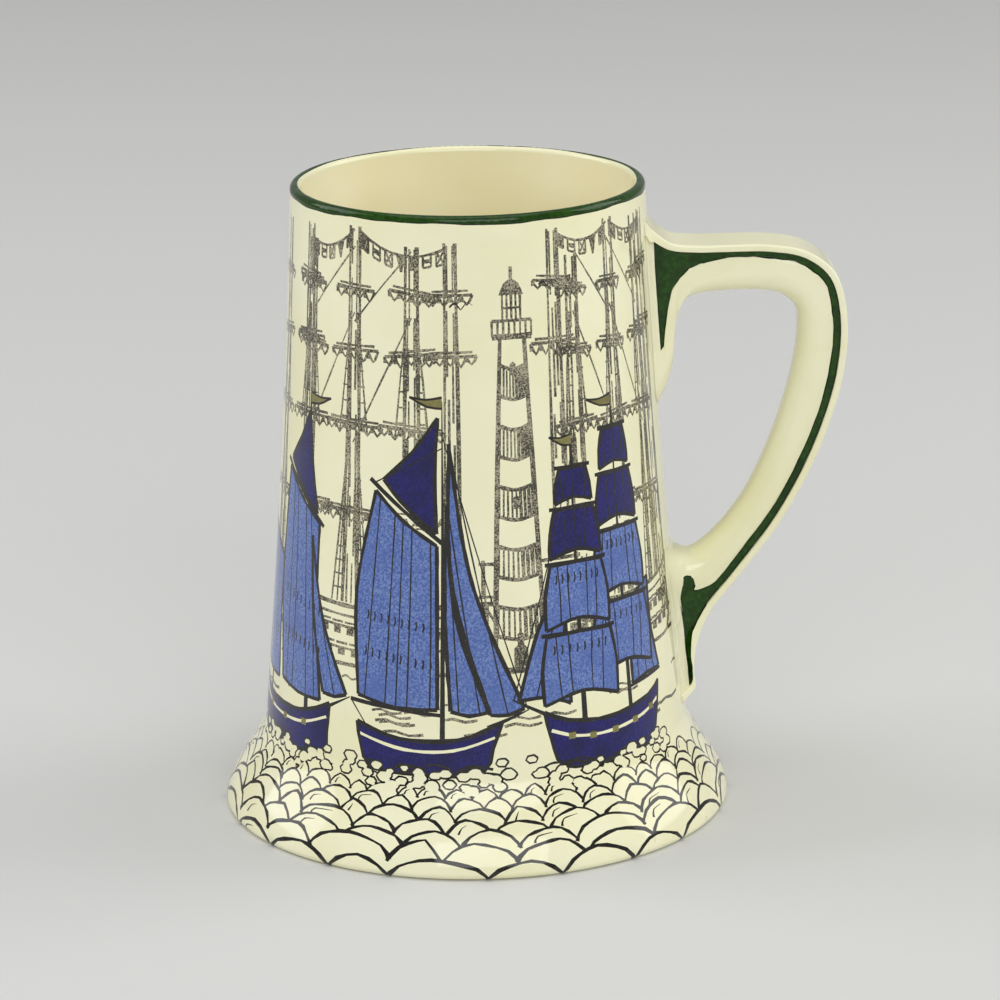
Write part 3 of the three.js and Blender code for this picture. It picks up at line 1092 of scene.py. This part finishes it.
def foam(sheet, u, v, half):
    """Small cells of foam thrown up along a hull, the nearest drawn first."""
    dice = sheet.dice
    count = 42
    for k in range(count):
        side = dice.uniform(-1, 1)
        middle = (u + half * side, v - 3.4 + 5 * k / count + dice.uniform(-0.5, 0.5) + 1.6 * side * side)
        size = dice.uniform(0.75, 1.3)
        outline = []
        for j in range(6):
            angle = 2 * math.pi * j / 6 + dice.uniform(-0.25, 0.25)
            outline.append((middle[0] + size * 1.35 * math.cos(angle), middle[1] + size * math.sin(angle)))
        if sheet.covered(*middle):
            continue
        smooth = curve(outline, 0.9, closed=True)
        sheet.area(CREAM, smooth)
        pen(sheet, BLACK, smooth + smooth[:1], 0.45, smooth=False)
        sheet.cover(smooth)


def ripples(sheet, u, v, half):
    """Short black strokes of water round a hull."""
    dice = sheet.dice
    for _ in range(16):
        start = u + dice.uniform(-half, half * 0.75)
        level = v + dice.uniform(-2.4, 0.9)
        length = dice.uniform(3, 6.5)
        crest = [(start, level), (start + length * 0.35, level + 0.75), (start + length, level - 0.1)]
        pen(sheet, BLACK, crest, dice.uniform(0.4, 0.7))


def scallops(sheet, low, high, rows):
    """Overlapping waves that grow towards the foot, the nearest drawn first; some hold a curl."""
    dice = sheet.dice
    levels = [low + (high - low) * (k / (rows - 1)) ** 0.85 for k in range(rows)]
    for row, level in enumerate(levels):
        nearness = 1 - row / (rows - 1)
        count = round(SHEET_WIDTH / (5.0 + 8.6 * nearness))
        wide = SHEET_WIDTH / count
        tall = 2.2 + 2.4 * nearness
        shift = 0.5 * (row % 2) + 0.13 * row
        pen_width = 0.54 + 0.3 * nearness
        edges = [dice.uniform(-0.17, 0.17) for _ in range(count)]
        edges.append(edges[0])
        waves = []
        for k in range(count):
            left = -HALF_SHEET + (k + shift + edges[k]) * wide
            right = -HALF_SHEET + (k + 1 + shift + edges[k + 1]) * wide
            if left > HALF_SHEET:
                left -= SHEET_WIDTH
                right -= SHEET_WIDTH
            rise = tall * dice.uniform(0.82, 1.18)
            base = level + dice.uniform(-0.3, 0.3)
            lean = dice.uniform(-0.14, 0.14) * wide
            middle = (left + right) / 2
            arch = [(left - 0.2, base - 0.3), (left + wide * 0.14, base + rise * 0.6),
                    (middle + lean, base + rise), (right - wide * 0.13, base + rise * 0.58),
                    (right + 0.2, base - 0.3)]
            if any(in_strip(*point) for point in arch):
                continue
            path = curve(arch, 0.75 + wide * 0.08)
            if dice.random() < 0.3:
                curl = [(left + wide * 0.24, base + rise * 0.1), (left + wide * 0.3, base + rise * 0.5),
                        (middle + lean * 0.8, base + rise * 0.66)]
                pen(sheet, BLACK, curl, 0.4 + 0.12 * nearness, taper=True)
            pen(sheet, BLACK, path, pen_width, wobble=0.22, smooth=False)
            below = max(base - tall * 1.6, 0.3)
            waves.append(path + [(right, below), (left, below)])
        for wave in waves:
            sheet.cover(wave)


def rim_band(sheet):
    """The enamel over the lip, brushed on by hand, so its lower edge wanders."""
    count = 180
    edge = run_at_height(RIM_EDGE_HEIGHT)
    lower, line_path = [], []
    for k in range(count + 1):
        angle = 2 * math.pi * k / count
        wander = 0.16 * math.sin(5 * angle + 0.4) + 0.1 * math.sin(11 * angle)
        wander += 0.07 * math.sin(23 * angle + 2)
        u = -HALF_SHEET + SHEET_WIDTH * k / count
        lower.append((u, edge + wander))
        line_path.append((u + 0.4, edge + wander + 0.12))
    upper = []
    for u, _ in reversed(lower):
        angle = u / SHEET_RADIUS
        over = 100 + 22 * abs(math.sin(angle)) + 5 * math.sin(9 * angle)
        upper.append((u, run_at_height(RIM_HEIGHT) + LIP_RADIUS * math.radians(over)))
    sheet.area(GREEN, lower + upper)
    sheet.stroke(PINE, line_path, 0.3, wobble=0.2)


def draw_print():
    """The whole print: the far harbour, the boats over it, the waves below and the rim's band."""
    front = Sheet(11)
    boats = ((cutter, -9.7, 1), (brig, 29.0, -1), (lugger, -48.3, 1),
             (brig, -86.8, 1), (lugger, -125.4, -1), (cutter, 106.1, -1))
    for boat, u, way in boats:
        boat(front, u, WATERLINE, way)
    sheet = Sheet(7)
    sheet.keep_clear_of(front)
    far_shore(sheet, HORIZON)
    for left, right in ((1, 24), (-122, -88), (86, 100)):
        jetty(sheet, left, right, HORIZON + 15)
    for u, half, way, masts in ((-27, 26, 1, ((-0.62, 136), (-0.05, 140.3), (0.52, 137))),
                                (36.4, 19, -1, ((-0.6, 139), (0.0, 140.2), (0.6, 134))),
                                (112, 22, 1, ((-0.6, 137), (0.0, 140.3), (0.58, 136))),
                                (-68, 19, -1, ((-0.55, 138), (0.05, 140.2), (0.62, 135)))):
        far_ship(sheet, u, HORIZON, half, way, masts)
    for u, high in ((-44, 139), (-4.5, 138), (20, 140), (53, 139.5), (-93, 139), (-79, 138), (85, 139),
                    (130, 139.6), (-131, 138)):
        far_mast(sheet, u, HORIZON + 4, high, 3.6)
        far_yard(sheet, u, high - 11, 5.2, sheet.dice.uniform(-0.6, 0.6))
        far_yard(sheet, u, high - 24, 6.0, sheet.dice.uniform(-0.6, 0.6))
    for start, end, sag, count in (((-43, 136), (-28.5, 139.6), 2.4, 5),
                                   ((-27, 139.5), (-5, 137), 3.2, 7),
                                   ((20.5, 139.4), (36.5, 139.4), 2.8, 5),
                                   ((37.5, 139.4), (52.5, 138.6), 2.6, 5),
                                   ((-92.5, 138.4), (-68.5, 139.4), 3.2, 7),
                                   ((112.5, 139.4), (129.5, 139), 2.8, 6),
                                   ((85.5, 138.6), (99, 136.4), 2.2, 4)):
        flags(sheet, start, end, sag, count)
    crane(sheet, -118, HORIZON + 15, 132, 1)
    lighthouse(sheet, 9.6, HORIZON + 1, 118)
    windmill(sheet, -106, HORIZON + 3, 96)
    cloud(sheet, -106, 133, 20)
    cloud(sheet, 84, 131, 12)
    for u, v, size in ((-2, 124, 2.6), (18.5, 128, 2.1), (-118, 124, 2.4), (-95, 122, 2),
                       (86, 121, 2.2)):
        gull(sheet, u, v, size)
    sheet.add(front)
    sheet.clear = []
    scallops(sheet, 1.0, 18.8, 7)
    for boat, u, way in boats:
        foam(sheet, u, WATERLINE - 1.1, 18)
        ripples(sheet, u, WATERLINE, 17)
    rim_band(sheet)
    return sheet


# Mesh

class Builder:
    """Vertices with their normals, and faces with their slots and map corners."""

    def __init__(self):
        self.vertices = []
        self.normals = []
        self.faces = []
        self.slots = []
        self.corners = []

    def vertex(self, position, normal):
        self.vertices.append(position)
        self.normals.append(normal)
        return len(self.vertices) - 1

    def face(self, slot, indices, corners):
        self.faces.append(indices)
        self.slots.append(slot)
        self.corners.extend(corners)


def sheet_corner(u, v):
    return (MAP_EDGE + (u + HALF_SHEET) * MAP_SCALE, MAP_EDGE + v * MAP_SCALE)


def handle_corner(row, column):
    return (MAP_EDGE + row * MAP_SCALE * 0.95, 0.82 + column * MAP_SCALE * 0.95)


def sheet_rows():
    """Heights of the sheet's grid rows, closer where the profile curves."""
    rows = spread(0, 2.5, 6) + spread(2.5, 24.2, 12)[1:]
    rows += spread(24.2, run_at_height(RIM_HEIGHT), 24)[1:]
    return rows + spread(run_at_height(RIM_HEIGHT), SHEET_HEIGHT, 12)[1:]


def add_handle(builder):
    """The handle with its green, cut off along the wall. Returns its open loops on the sheet."""
    vertices, triangles = handle_surface()
    triangles = split_along(vertices, triangles, WALL_FIELD, 0, 0.02)
    triangles = [corners for corners in triangles if mean(vertices, corners, WALL_FIELD) > 0]
    triangles = split_along(vertices, triangles, GREEN_FIELD, 0, 0.02)
    triangles = split_along(vertices, triangles, GREEN_FIELD, GREEN_EDGE, 0.02)
    loops = open_loops(triangles)
    edge = {index for loop in loops for index in loop}
    used = sorted({corner[0] for corners in triangles for corner in corners})
    renamed = {}
    for index in used:
        x, y, z = vertices[index][:3]
        normal = Vector(vertices[index][3:6]).normalized()
        if index in edge:
            angle = math.atan2(x, -y)
            radius, z, out, up = on_profile(run_at_height(z))
            x, y, z = round_point(radius, z, angle)
            normal = Vector(round_point(out, up, angle))
        renamed[index] = builder.vertex((x, y, z), tuple(normal))
    for corners in triangles:
        depth = mean(vertices, corners, GREEN_FIELD)
        slot = GREEN if depth > GREEN_EDGE else PINE if depth > 0 else CREAM
        builder.face(slot, tuple(renamed[index] for index, place in corners),
                     [handle_corner(*place) for index, place in corners])

    def on_sheet(index):
        x, y, z = builder.vertices[index]
        return (SHEET_RADIUS * math.atan2(x, -y), run_at_height(z), index)

    return [[on_sheet(renamed[index]) for index in loop] for loop in loops]


def near_loops(u, v, loops):
    """Whether a grid point is too close to the handle's outline to leave well-shaped triangles."""
    if abs(u - HANDLE_U) > 13:
        return False
    for loop in loops:
        for (u1, v1, _), (u2, v2, _) in zip(loop, loop[1:] + loop[:1]):
            run = (u2 - u1, v2 - v1)
            t = ((u - u1) * run[0] + (v - v1) * run[1]) / (run[0] ** 2 + run[1] ** 2 or 1)
            t = min(max(t, 0), 1)
            if math.dist((u, v), (u1 + run[0] * t, v1 + run[1] * t)) < 0.6:
                return True
    return False


def sheet_border(rows, columns):
    """Points round the sheet's edge, counterclockwise from its lower left corner."""
    lower_and_right = [(u, rows[0]) for u in columns] + [(HALF_SHEET, v) for v in rows[1:]]
    upper = [(u, rows[-1]) for u in columns[-2::-1]]
    return lower_and_right + upper + [(-HALF_SHEET, v) for v in rows[-2:0:-1]]


def cut_sheet(sheet, loops):
    """Cuts the sheet along its print, its border and the handle's loops, over a grid of points.

    Returns the places, the triangles, each triangle's ink, and the handle's vertices at each place.
    """
    rows = sheet_rows()
    columns = spread(-HALF_SHEET, HALF_SHEET, COLUMNS)
    points, faces, inks = list(sheet.points), list(sheet.faces), list(sheet.inks)
    known = {}
    for loop in loops:
        first = len(points)
        for u, v, index in loop:
            known[len(points)] = index
            points.append((u, v))
        faces.append(tuple(range(first, len(points))))
        inks.append(HOLE)
    border = sheet_border(rows, columns)
    first = len(points)
    points.extend(border)
    edges = [(first + i, first + (i + 1) % len(border)) for i in range(len(border))]
    for v in rows[1:-1]:
        points.extend((u, v) for u in columns[1:-1] if not near_loops(u, v, loops))
    places, _, triangles, from_points, _, from_faces = geometry.delaunay_2d_cdt(
        [Vector(point) for point in points], edges, faces, 0, CUT_TOLERANCE, True)

    # An outline that the cut spreads past its own area is left out
    filled = [0.0] * len(faces)
    for triangle, origins in zip(triangles, from_faces):
        size = turning([places[i] for i in triangle])
        for origin in origins:
            filled[origin] += size
    sound = [filled[i] < 1.2 * turning([points[k] for k in face]) + 0.05 for i, face in enumerate(faces)]
    cut_inks = []
    for origins in from_faces:
        kept = [origin for origin in origins if sound[origin]]
        cut_inks.append(inks[max(kept)] if kept else CREAM)
    shared = [[known[origin] for origin in origins if origin in known] for origins in from_points]
    return places, triangles, cut_inks, shared


def add_wall(builder, sheet, loops):
    """Wraps the cut sheet round the body, joined to the handle. Returns its lower and upper rings."""
    places, triangles, inks, shared = cut_sheet(sheet, loops)
    left = [i for i in range(len(places)) if abs(places[i].x + HALF_SHEET) < 0.01]
    names = {place: indices[0] for place, indices in enumerate(shared) if indices}
    same = {other: indices[0] for indices in shared for other in indices[1:]}

    def name(place):
        if place in names:
            return names[place]
        u, v = places[place]
        if abs(u - HALF_SHEET) < 0.01:
            names[place] = name(min(left, key=lambda i: abs(places[i].y - v)))
        else:
            angle = u / SHEET_RADIUS
            radius, z, out, up = on_profile(min(max(v, 0), SHEET_HEIGHT))
            names[place] = builder.vertex(round_point(radius, z, angle), round_point(out, up, angle))
        return names[place]

    for triangle, ink in zip(triangles, inks):
        u = sum(places[i].x for i in triangle) / 3
        v = sum(places[i].y for i in triangle) / 3
        if ink == HOLE or abs(u) > HALF_SHEET or not 0 < v < SHEET_HEIGHT:
            continue
        indices = tuple(name(i) for i in triangle)
        if len(set(indices)) == 3:
            builder.face(ink, indices, [sheet_corner(places[i].x, places[i].y) for i in triangle])
    builder.faces = [tuple(same.get(i, i) for i in face) for face in builder.faces]
    return [[name(i) for i in ring_places(places, level)] for level in (0, SHEET_HEIGHT)]


def ring_places(places, level):
    """Indices along one edge of the sheet from left to right, without the repeated last one."""
    ring = [i for i in range(len(places)) if abs(places[i].y - level) < 0.01]
    columns = spread(-HALF_SHEET, HALF_SHEET, COLUMNS)[:-1]
    return [min(ring, key=lambda i: abs(places[i].x - u)) for u in columns]


def inside_corner(column, place, flat):
    """Map corner of a point inside the cup; the floor has a disc of its own."""
    distance, radius = place
    if not flat:
        return (MAP_EDGE + column / COLUMNS * 0.48, 0.56 + distance * MAP_SCALE * 0.5)
    x, y, _ = round_point(radius * MAP_SCALE * 0.55, 0, 2 * math.pi * column / COLUMNS - math.pi)
    return (0.62 + x, 0.68 + y)


def add_inside(builder, top):
    """The wall's inside, the corner and the floor of the cup, joined to the lip."""
    profile = inside_profile()
    runs = running_lengths(profile)
    angles = [u / SHEET_RADIUS for u in spread(-HALF_SHEET, HALF_SHEET, COLUMNS)]
    ring = top
    for k in range(1, len(profile)):
        before, (radius, z), after = profile[k - 1], profile[k], profile[min(k + 1, len(profile) - 1)]
        out, up = Vector((after[1] - before[1], before[0] - after[0])).normalized()
        flat = z <= FLOOR_THICKNESS + 0.001
        centre = radius < 0.001
        outer, inner = (runs[k - 1], before[0]), (runs[k], radius)
        if centre:
            new = [builder.vertex((0, 0, z), (0, 0, 1))] * COLUMNS
        else:
            new = [builder.vertex(round_point(radius, z, angle), round_point(out, up, angle))
                   for angle in angles[:-1]]
        for i in range(COLUMNS):
            j = (i + 1) % COLUMNS
            indices = (ring[i], ring[j], new[j], new[i])
            corners = [inside_corner(i, outer, flat), inside_corner(i + 1, outer, flat),
                       inside_corner(i + 1, inner, flat), inside_corner(i, inner, flat)]
            if centre:
                del corners[2]
                indices = indices[:3]
            # The inside takes the cream glaze whose warmer tone is painted shade
            builder.face(PAINTED_SHADE_INSIDE, indices, corners)
        ring = new


def add_underside(builder, bottom):
    """The flat underside with the three small marks that the kiln's stilt leaves."""
    dice = random.Random(3)
    points = [builder.vertices[i][:2] for i in bottom]
    count = len(points)
    for radius in (51, 46, 38, 28, 17, 6):
        around = max(8, round(radius * 1.4))
        points.extend(round_point(radius, 0, 2 * math.pi * k / around)[:2] for k in range(around))
    points.append((0, 0))
    faces = []
    for mark in range(3):
        angle = 2 * math.pi * (mark / 3 + 0.09)
        centre = round_point(STILT_RADIUS, 0, angle)
        first = len(points)
        for k in range(14):
            turn = 2 * math.pi * k / 14
            reach = 1.0 + dice.uniform(-0.25, 0.3)
            points.append((centre[0] + reach * math.cos(turn) * 1.3, centre[1] + reach * math.sin(turn)))
        faces.append(tuple(range(first, len(points))))
    edges = [(i, (i + 1) % count) for i in range(count)]
    places, _, triangles, from_points, _, from_faces = geometry.delaunay_2d_cdt(
        [Vector(point) for point in points], edges, faces, 0, 0.001, True)
    names = []
    for place, origins in zip(places, from_points):
        owners = [bottom[origin] for origin in origins if origin < count]
        names.append(owners[0] if owners else builder.vertex((place.x, place.y, 0), (0, 0, -1)))
    for triangle, origins in zip(triangles, from_faces):
        corners = [(0.85 + places[i].x * MAP_SCALE * 0.55, 0.68 + places[i].y * MAP_SCALE * 0.55)
                   for i in triangle]
        slot = CLAY if origins else CREAM
        builder.face(slot, tuple(names[i] for i in reversed(triangle)), corners[::-1])


def close_seams(builder, reach):
    """Joins the few points along the handle's outline that still lie apart."""
    count = {}
    for face in builder.faces:
        for a, b in zip(face, face[1:] + face[:1]):
            edge = (min(a, b), max(a, b))
            count[edge] = count.get(edge, 0) + 1
    loose = sorted({index for edge, uses in count.items() if uses == 1 for index in edge})
    target = {}
    for i in loose:
        for j in loose:
            if j >= i:
                break
            if math.dist(builder.vertices[i], builder.vertices[j]) < reach:
                target[i] = target.get(j, j)
                break
    faces, slots, corners = [], [], []
    start = 0
    for face, slot in zip(builder.faces, builder.slots):
        renamed = [target.get(i, i) for i in face]
        kept = [k for k in range(len(face)) if renamed[k] != renamed[k - 1]]
        if len(kept) > 2:
            faces.append(tuple(renamed[k] for k in kept))
            slots.append(slot)
            corners.extend(builder.corners[start + k] for k in kept)
        start += len(face)
    builder.faces, builder.slots, builder.corners = faces, slots, corners


def build_tankard(materials):
    builder = Builder()
    loops = add_handle(builder)
    bottom, top = add_wall(builder, draw_print(), loops)
    add_inside(builder, top)
    add_underside(builder, bottom)
    close_seams(builder, WELD_REACH)
    used = sorted({index for face in builder.faces for index in face})
    renamed = {index: i for i, index in enumerate(used)}
    mesh = bpy.data.meshes.new("tankard_glazed")
    mesh.from_pydata([Vector(builder.vertices[i]) * MM for i in used], [],
                     [tuple(renamed[i] for i in face) for face in builder.faces])
    for material in materials:
        mesh.materials.append(material)
    mesh.polygons.foreach_set("material_index", builder.slots)
    layer = mesh.uv_layers.new(name="OFBake")
    layer.data.foreach_set("uv", [value for corner in builder.corners for value in corner])
    mesh.shade_smooth()
    mesh.normals_split_custom_set_from_vertices([builder.normals[i] for i in used])
    mesh.validate()
    mesh.update()
    piece = bpy.data.objects.new("tankard_glazed", mesh)
    bpy.context.scene.collection.objects.link(piece)
    return piece


# Materials

class Glaze:
    """Node helper for one glossy glaze; sizes are in millimetres on the object."""

    def __init__(self, name):
        self.material = bpy.data.materials.new(name)
        self.material.use_nodes = True
        self.tree = self.material.node_tree
        self.shader = self.tree.nodes["Principled BSDF"]
        self.place = self.tree.nodes.new("ShaderNodeTexCoord").outputs["Object"]

    def link(self, output, socket):
        self.tree.links.new(output, socket)

    def noise(self, size, detail, roughness=0.5):
        node = self.tree.nodes.new("ShaderNodeTexNoise")
        node.inputs["Scale"].default_value = 1000 / size
        node.inputs["Detail"].default_value = detail
        node.inputs["Roughness"].default_value = roughness
        self.link(self.place, node.inputs["Vector"])
        return node.outputs["Fac"]

    def specks(self, size, reach):
        """1 in the middle of scattered dots, 0 elsewhere."""
        node = self.tree.nodes.new("ShaderNodeTexVoronoi")
        node.inputs["Scale"].default_value = 1000 / size
        self.link(self.place, node.inputs["Vector"])
        return self.scale(node.outputs["Distance"], 0, reach / size, 1, 0)

    def scale(self, value, low, high, to_low=0.0, to_high=1.0):
        node = self.tree.nodes.new("ShaderNodeMapRange")
        node.interpolation_type = "SMOOTHSTEP"
        for socket, number in zip(node.inputs[1:5], (low, high, to_low, to_high)):
            socket.default_value = number
        self.link(value, node.inputs["Value"])
        return node.outputs["Result"]

    def combined(self, operation, first, second):
        node = self.tree.nodes.new("ShaderNodeMath")
        node.operation = operation
        self.link(first, node.inputs[0])
        self.link(second, node.inputs[1])
        return node.outputs[0]

    def mix(self, factor, first, second):
        node = self.tree.nodes.new("ShaderNodeMix")
        node.data_type = "RGBA"
        self.link(factor, node.inputs["Factor"])
        for socket, colour in ((node.inputs[6], first), (node.inputs[7], second)):
            if isinstance(colour, tuple):
                socket.default_value = (*colour, 1)
            else:
                self.link(colour, socket)
        return node.outputs[2]

    def finish(self, colour, smooth=0.06, dull=0.13, relief=0.12):
        """Sets the colour, and the slight unevenness that fired glaze has in gloss and surface."""
        self.link(colour, self.shader.inputs["Base Color"])
        self.link(self.scale(self.noise(7, 4), 0.35, 0.7, smooth, dull), self.shader.inputs["Roughness"])
        bump = self.tree.nodes.new("ShaderNodeBump")
        bump.inputs["Strength"].default_value = relief
        bump.inputs["Distance"].default_value = 0.1 * MM
        self.link(self.noise(4.5, 3, 0.55), bump.inputs["Height"])
        self.link(bump.outputs["Normal"], self.shader.inputs["Normal"])
        self.shader.inputs["IOR"].default_value = 1.5
        return self.material


def cream(name, light, deep):
    """Cream glaze over a clay body, uneven in depth, with rare small iron specks."""
    glaze = Glaze(name)
    colour = glaze.mix(glaze.scale(glaze.noise(26, 4), 0.35, 0.7), light, deep)
    spots = glaze.combined("MULTIPLY", glaze.specks(9, 0.5), glaze.scale(glaze.noise(14, 1), 0.56, 0.6))
    colour = glaze.mix(spots, colour, (0.33, 0.22, 0.1))
    height = glaze.tree.nodes.new("ShaderNodeSeparateXYZ")
    glaze.link(glaze.place, height.inputs[0])
    near_foot = glaze.scale(height.outputs["Z"], 0.5 * MM, 7 * MM, 1, 0)
    stains = glaze.combined("MULTIPLY", glaze.scale(glaze.noise(2.6, 5, 0.75), 0.6, 0.72), near_foot)
    stained = glaze.combined("MULTIPLY", stains, glaze.scale(glaze.noise(30, 1), 0.5, 0.62))
    return glaze.finish(glaze.mix(stained, colour, (0.42, 0.29, 0.13)))


def inked(name, ink, thin, grain, cover):
    """Printed ink: its grains leave some of the glaze bare, more where the print is weak."""
    glaze = Glaze(name)
    density = glaze.scale(glaze.noise(6, 3, 0.6), 0.3, 0.7, cover[0], cover[1])
    grains = glaze.combined("ADD", glaze.noise(grain, 2, 0.7), density)
    colour = glaze.mix(glaze.scale(grains, 0.44, 0.58), thin, ink)
    return glaze.finish(colour)


def clouded(name, first, second, third, grain, size, gloss=0.5):
    """A hand-laid colour: fine grains of two tones over slow clouds of a third."""
    glaze = Glaze(name)
    glaze.shader.inputs["Specular IOR Level"].default_value = gloss
    grains = glaze.mix(glaze.scale(glaze.noise(grain, 3, 0.75), 0.4, 0.62), first, second)
    colour = glaze.mix(glaze.scale(glaze.noise(size, 3, 0.6), 0.42, 0.72, 0, 0.7), grains, third)
    return glaze.finish(colour)


def bare_clay():
    glaze = Glaze("bare clay")
    grains = glaze.scale(glaze.noise(0.6, 3), 0.35, 0.65)
    colour = glaze.mix(grains, (0.62, 0.55, 0.40), (0.42, 0.34, 0.22))
    return glaze.finish(colour, 0.7, 0.9, 0.6)


def all_materials():
    return [
        cream("cream glaze", CREAM_LIGHT, CREAM_DEEP),
        inked("grey ink", (0.05, 0.045, 0.03), (0.42, 0.39, 0.27), 0.34, (-0.03, 0.1)),
        inked("black ink", (0.009, 0.008, 0.007), (0.055, 0.05, 0.035), 0.3, (0.08, 0.18)),
        clouded("speckled blue", (0.055, 0.11, 0.37), (0.185, 0.27, 0.56), (0.075, 0.135, 0.41), 0.5, 9),
        clouded("navy", (0.004, 0.002, 0.085), (0.01, 0.008, 0.16), (0.002, 0.001, 0.045), 0.6, 7),
        clouded("olive", (0.20, 0.18, 0.045), (0.27, 0.25, 0.09), (0.13, 0.115, 0.03), 0.4, 5),
        clouded("green enamel", (0.009, 0.043, 0.001), (0.019, 0.072, 0.002), (0.004, 0.022, 0.001),
                1.1, 6, 0.3),
        bare_clay(),
        clouded("dark green enamel", (0.004, 0.018, 0.002), (0.007, 0.026, 0.003),
                (0.003, 0.012, 0.001), 0.8, 5, 0.3),
        # Painted shade: the same cream glaze in a warmer tone for the inside of the cup
        cream("cream glaze with painted shade inside", INSIDE_SHADE_PALE, INSIDE_SHADE_DEEP),
    ]


# Stage

def softbox(name, location, size, power):
    """A rectangular light aimed at the middle of the body."""
    light = bpy.data.lights.new(name, "AREA")
    light.shape = "RECTANGLE"
    light.size, light.size_y = size
    light.energy = power
    lamp = bpy.data.objects.new(name, light)
    lamp.location = location
    aim = Vector((0, 0, HEIGHT / 2 * MM)) - Vector(location)
    lamp.rotation_euler = aim.to_track_quat("-Z", "Y").to_euler()
    bpy.context.scene.collection.objects.link(lamp)


def pale_floor():
    mesh = bpy.data.meshes.new("floor")
    half = 4
    corners = [(-half, -half, 0), (half, -half, 0), (half, half, 0), (-half, half, 0)]
    mesh.from_pydata(corners, [], [(0, 1, 2, 3)])
    floor = bpy.data.objects.new("floor", mesh)
    bpy.context.scene.collection.objects.link(floor)
    material = bpy.data.materials.new("pale floor")
    material.use_nodes = True
    shader = material.node_tree.nodes["Principled BSDF"]
    shader.inputs["Base Color"].default_value = (0.68, 0.68, 0.67, 1)
    shader.inputs["Roughness"].default_value = 0.75
    mesh.materials.append(material)


def studio():
    world = bpy.data.worlds.new("studio")
    world.use_nodes = True
    world.node_tree.nodes["Background"].inputs["Color"].default_value = (1, 1, 0.98, 1)
    world.node_tree.nodes["Background"].inputs["Strength"].default_value = 0.34
    bpy.context.scene.world = world
    bpy.context.scene.view_settings.view_transform = "Standard"
    softbox("left softbox", (-1.6, 0.3, 0.95), (1.2, 1.2), 10.5)
    softbox("right softbox", (1.6, 0.25, 0.95), (1.2, 1.2), 10.5)
    softbox("top softbox", (0, -0.1, 1.6), (1.6, 1.2), 7.5)
    softbox("front softbox", (0.2, -1.8, 1.0), (1.8, 1.0), 15.5)


def camera():
    """The photograph's camera, solved from the ellipses of the rim and foot."""
    forward = Vector((math.sin(CAMERA_YAW) * math.cos(CAMERA_PITCH),
                      math.cos(CAMERA_YAW) * math.cos(CAMERA_PITCH), -math.sin(CAMERA_PITCH)))
    right = Vector((math.cos(CAMERA_YAW), -math.sin(CAMERA_YAW), 0))
    up = right.cross(forward)
    across = right * math.cos(CAMERA_ROLL) + up * math.sin(CAMERA_ROLL)
    upward = up * math.cos(CAMERA_ROLL) - right * math.sin(CAMERA_ROLL)
    data = bpy.data.cameras.new("camera")
    data.sensor_width = SENSOR_WIDTH
    data.lens = LENS_RATIO * SENSOR_WIDTH
    data.clip_end = 50
    seen_from = bpy.data.objects.new("camera", data)
    matrix = Matrix((across, upward, -forward)).transposed().to_4x4()
    matrix.translation = CAMERA_PLACE
    seen_from.matrix_world = matrix
    bpy.context.scene.collection.objects.link(seen_from)
    bpy.context.scene.camera = seen_from


tankard = build_tankard(all_materials())
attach(tankard, "root")
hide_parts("tankard")
pale_floor()
studio()
camera()
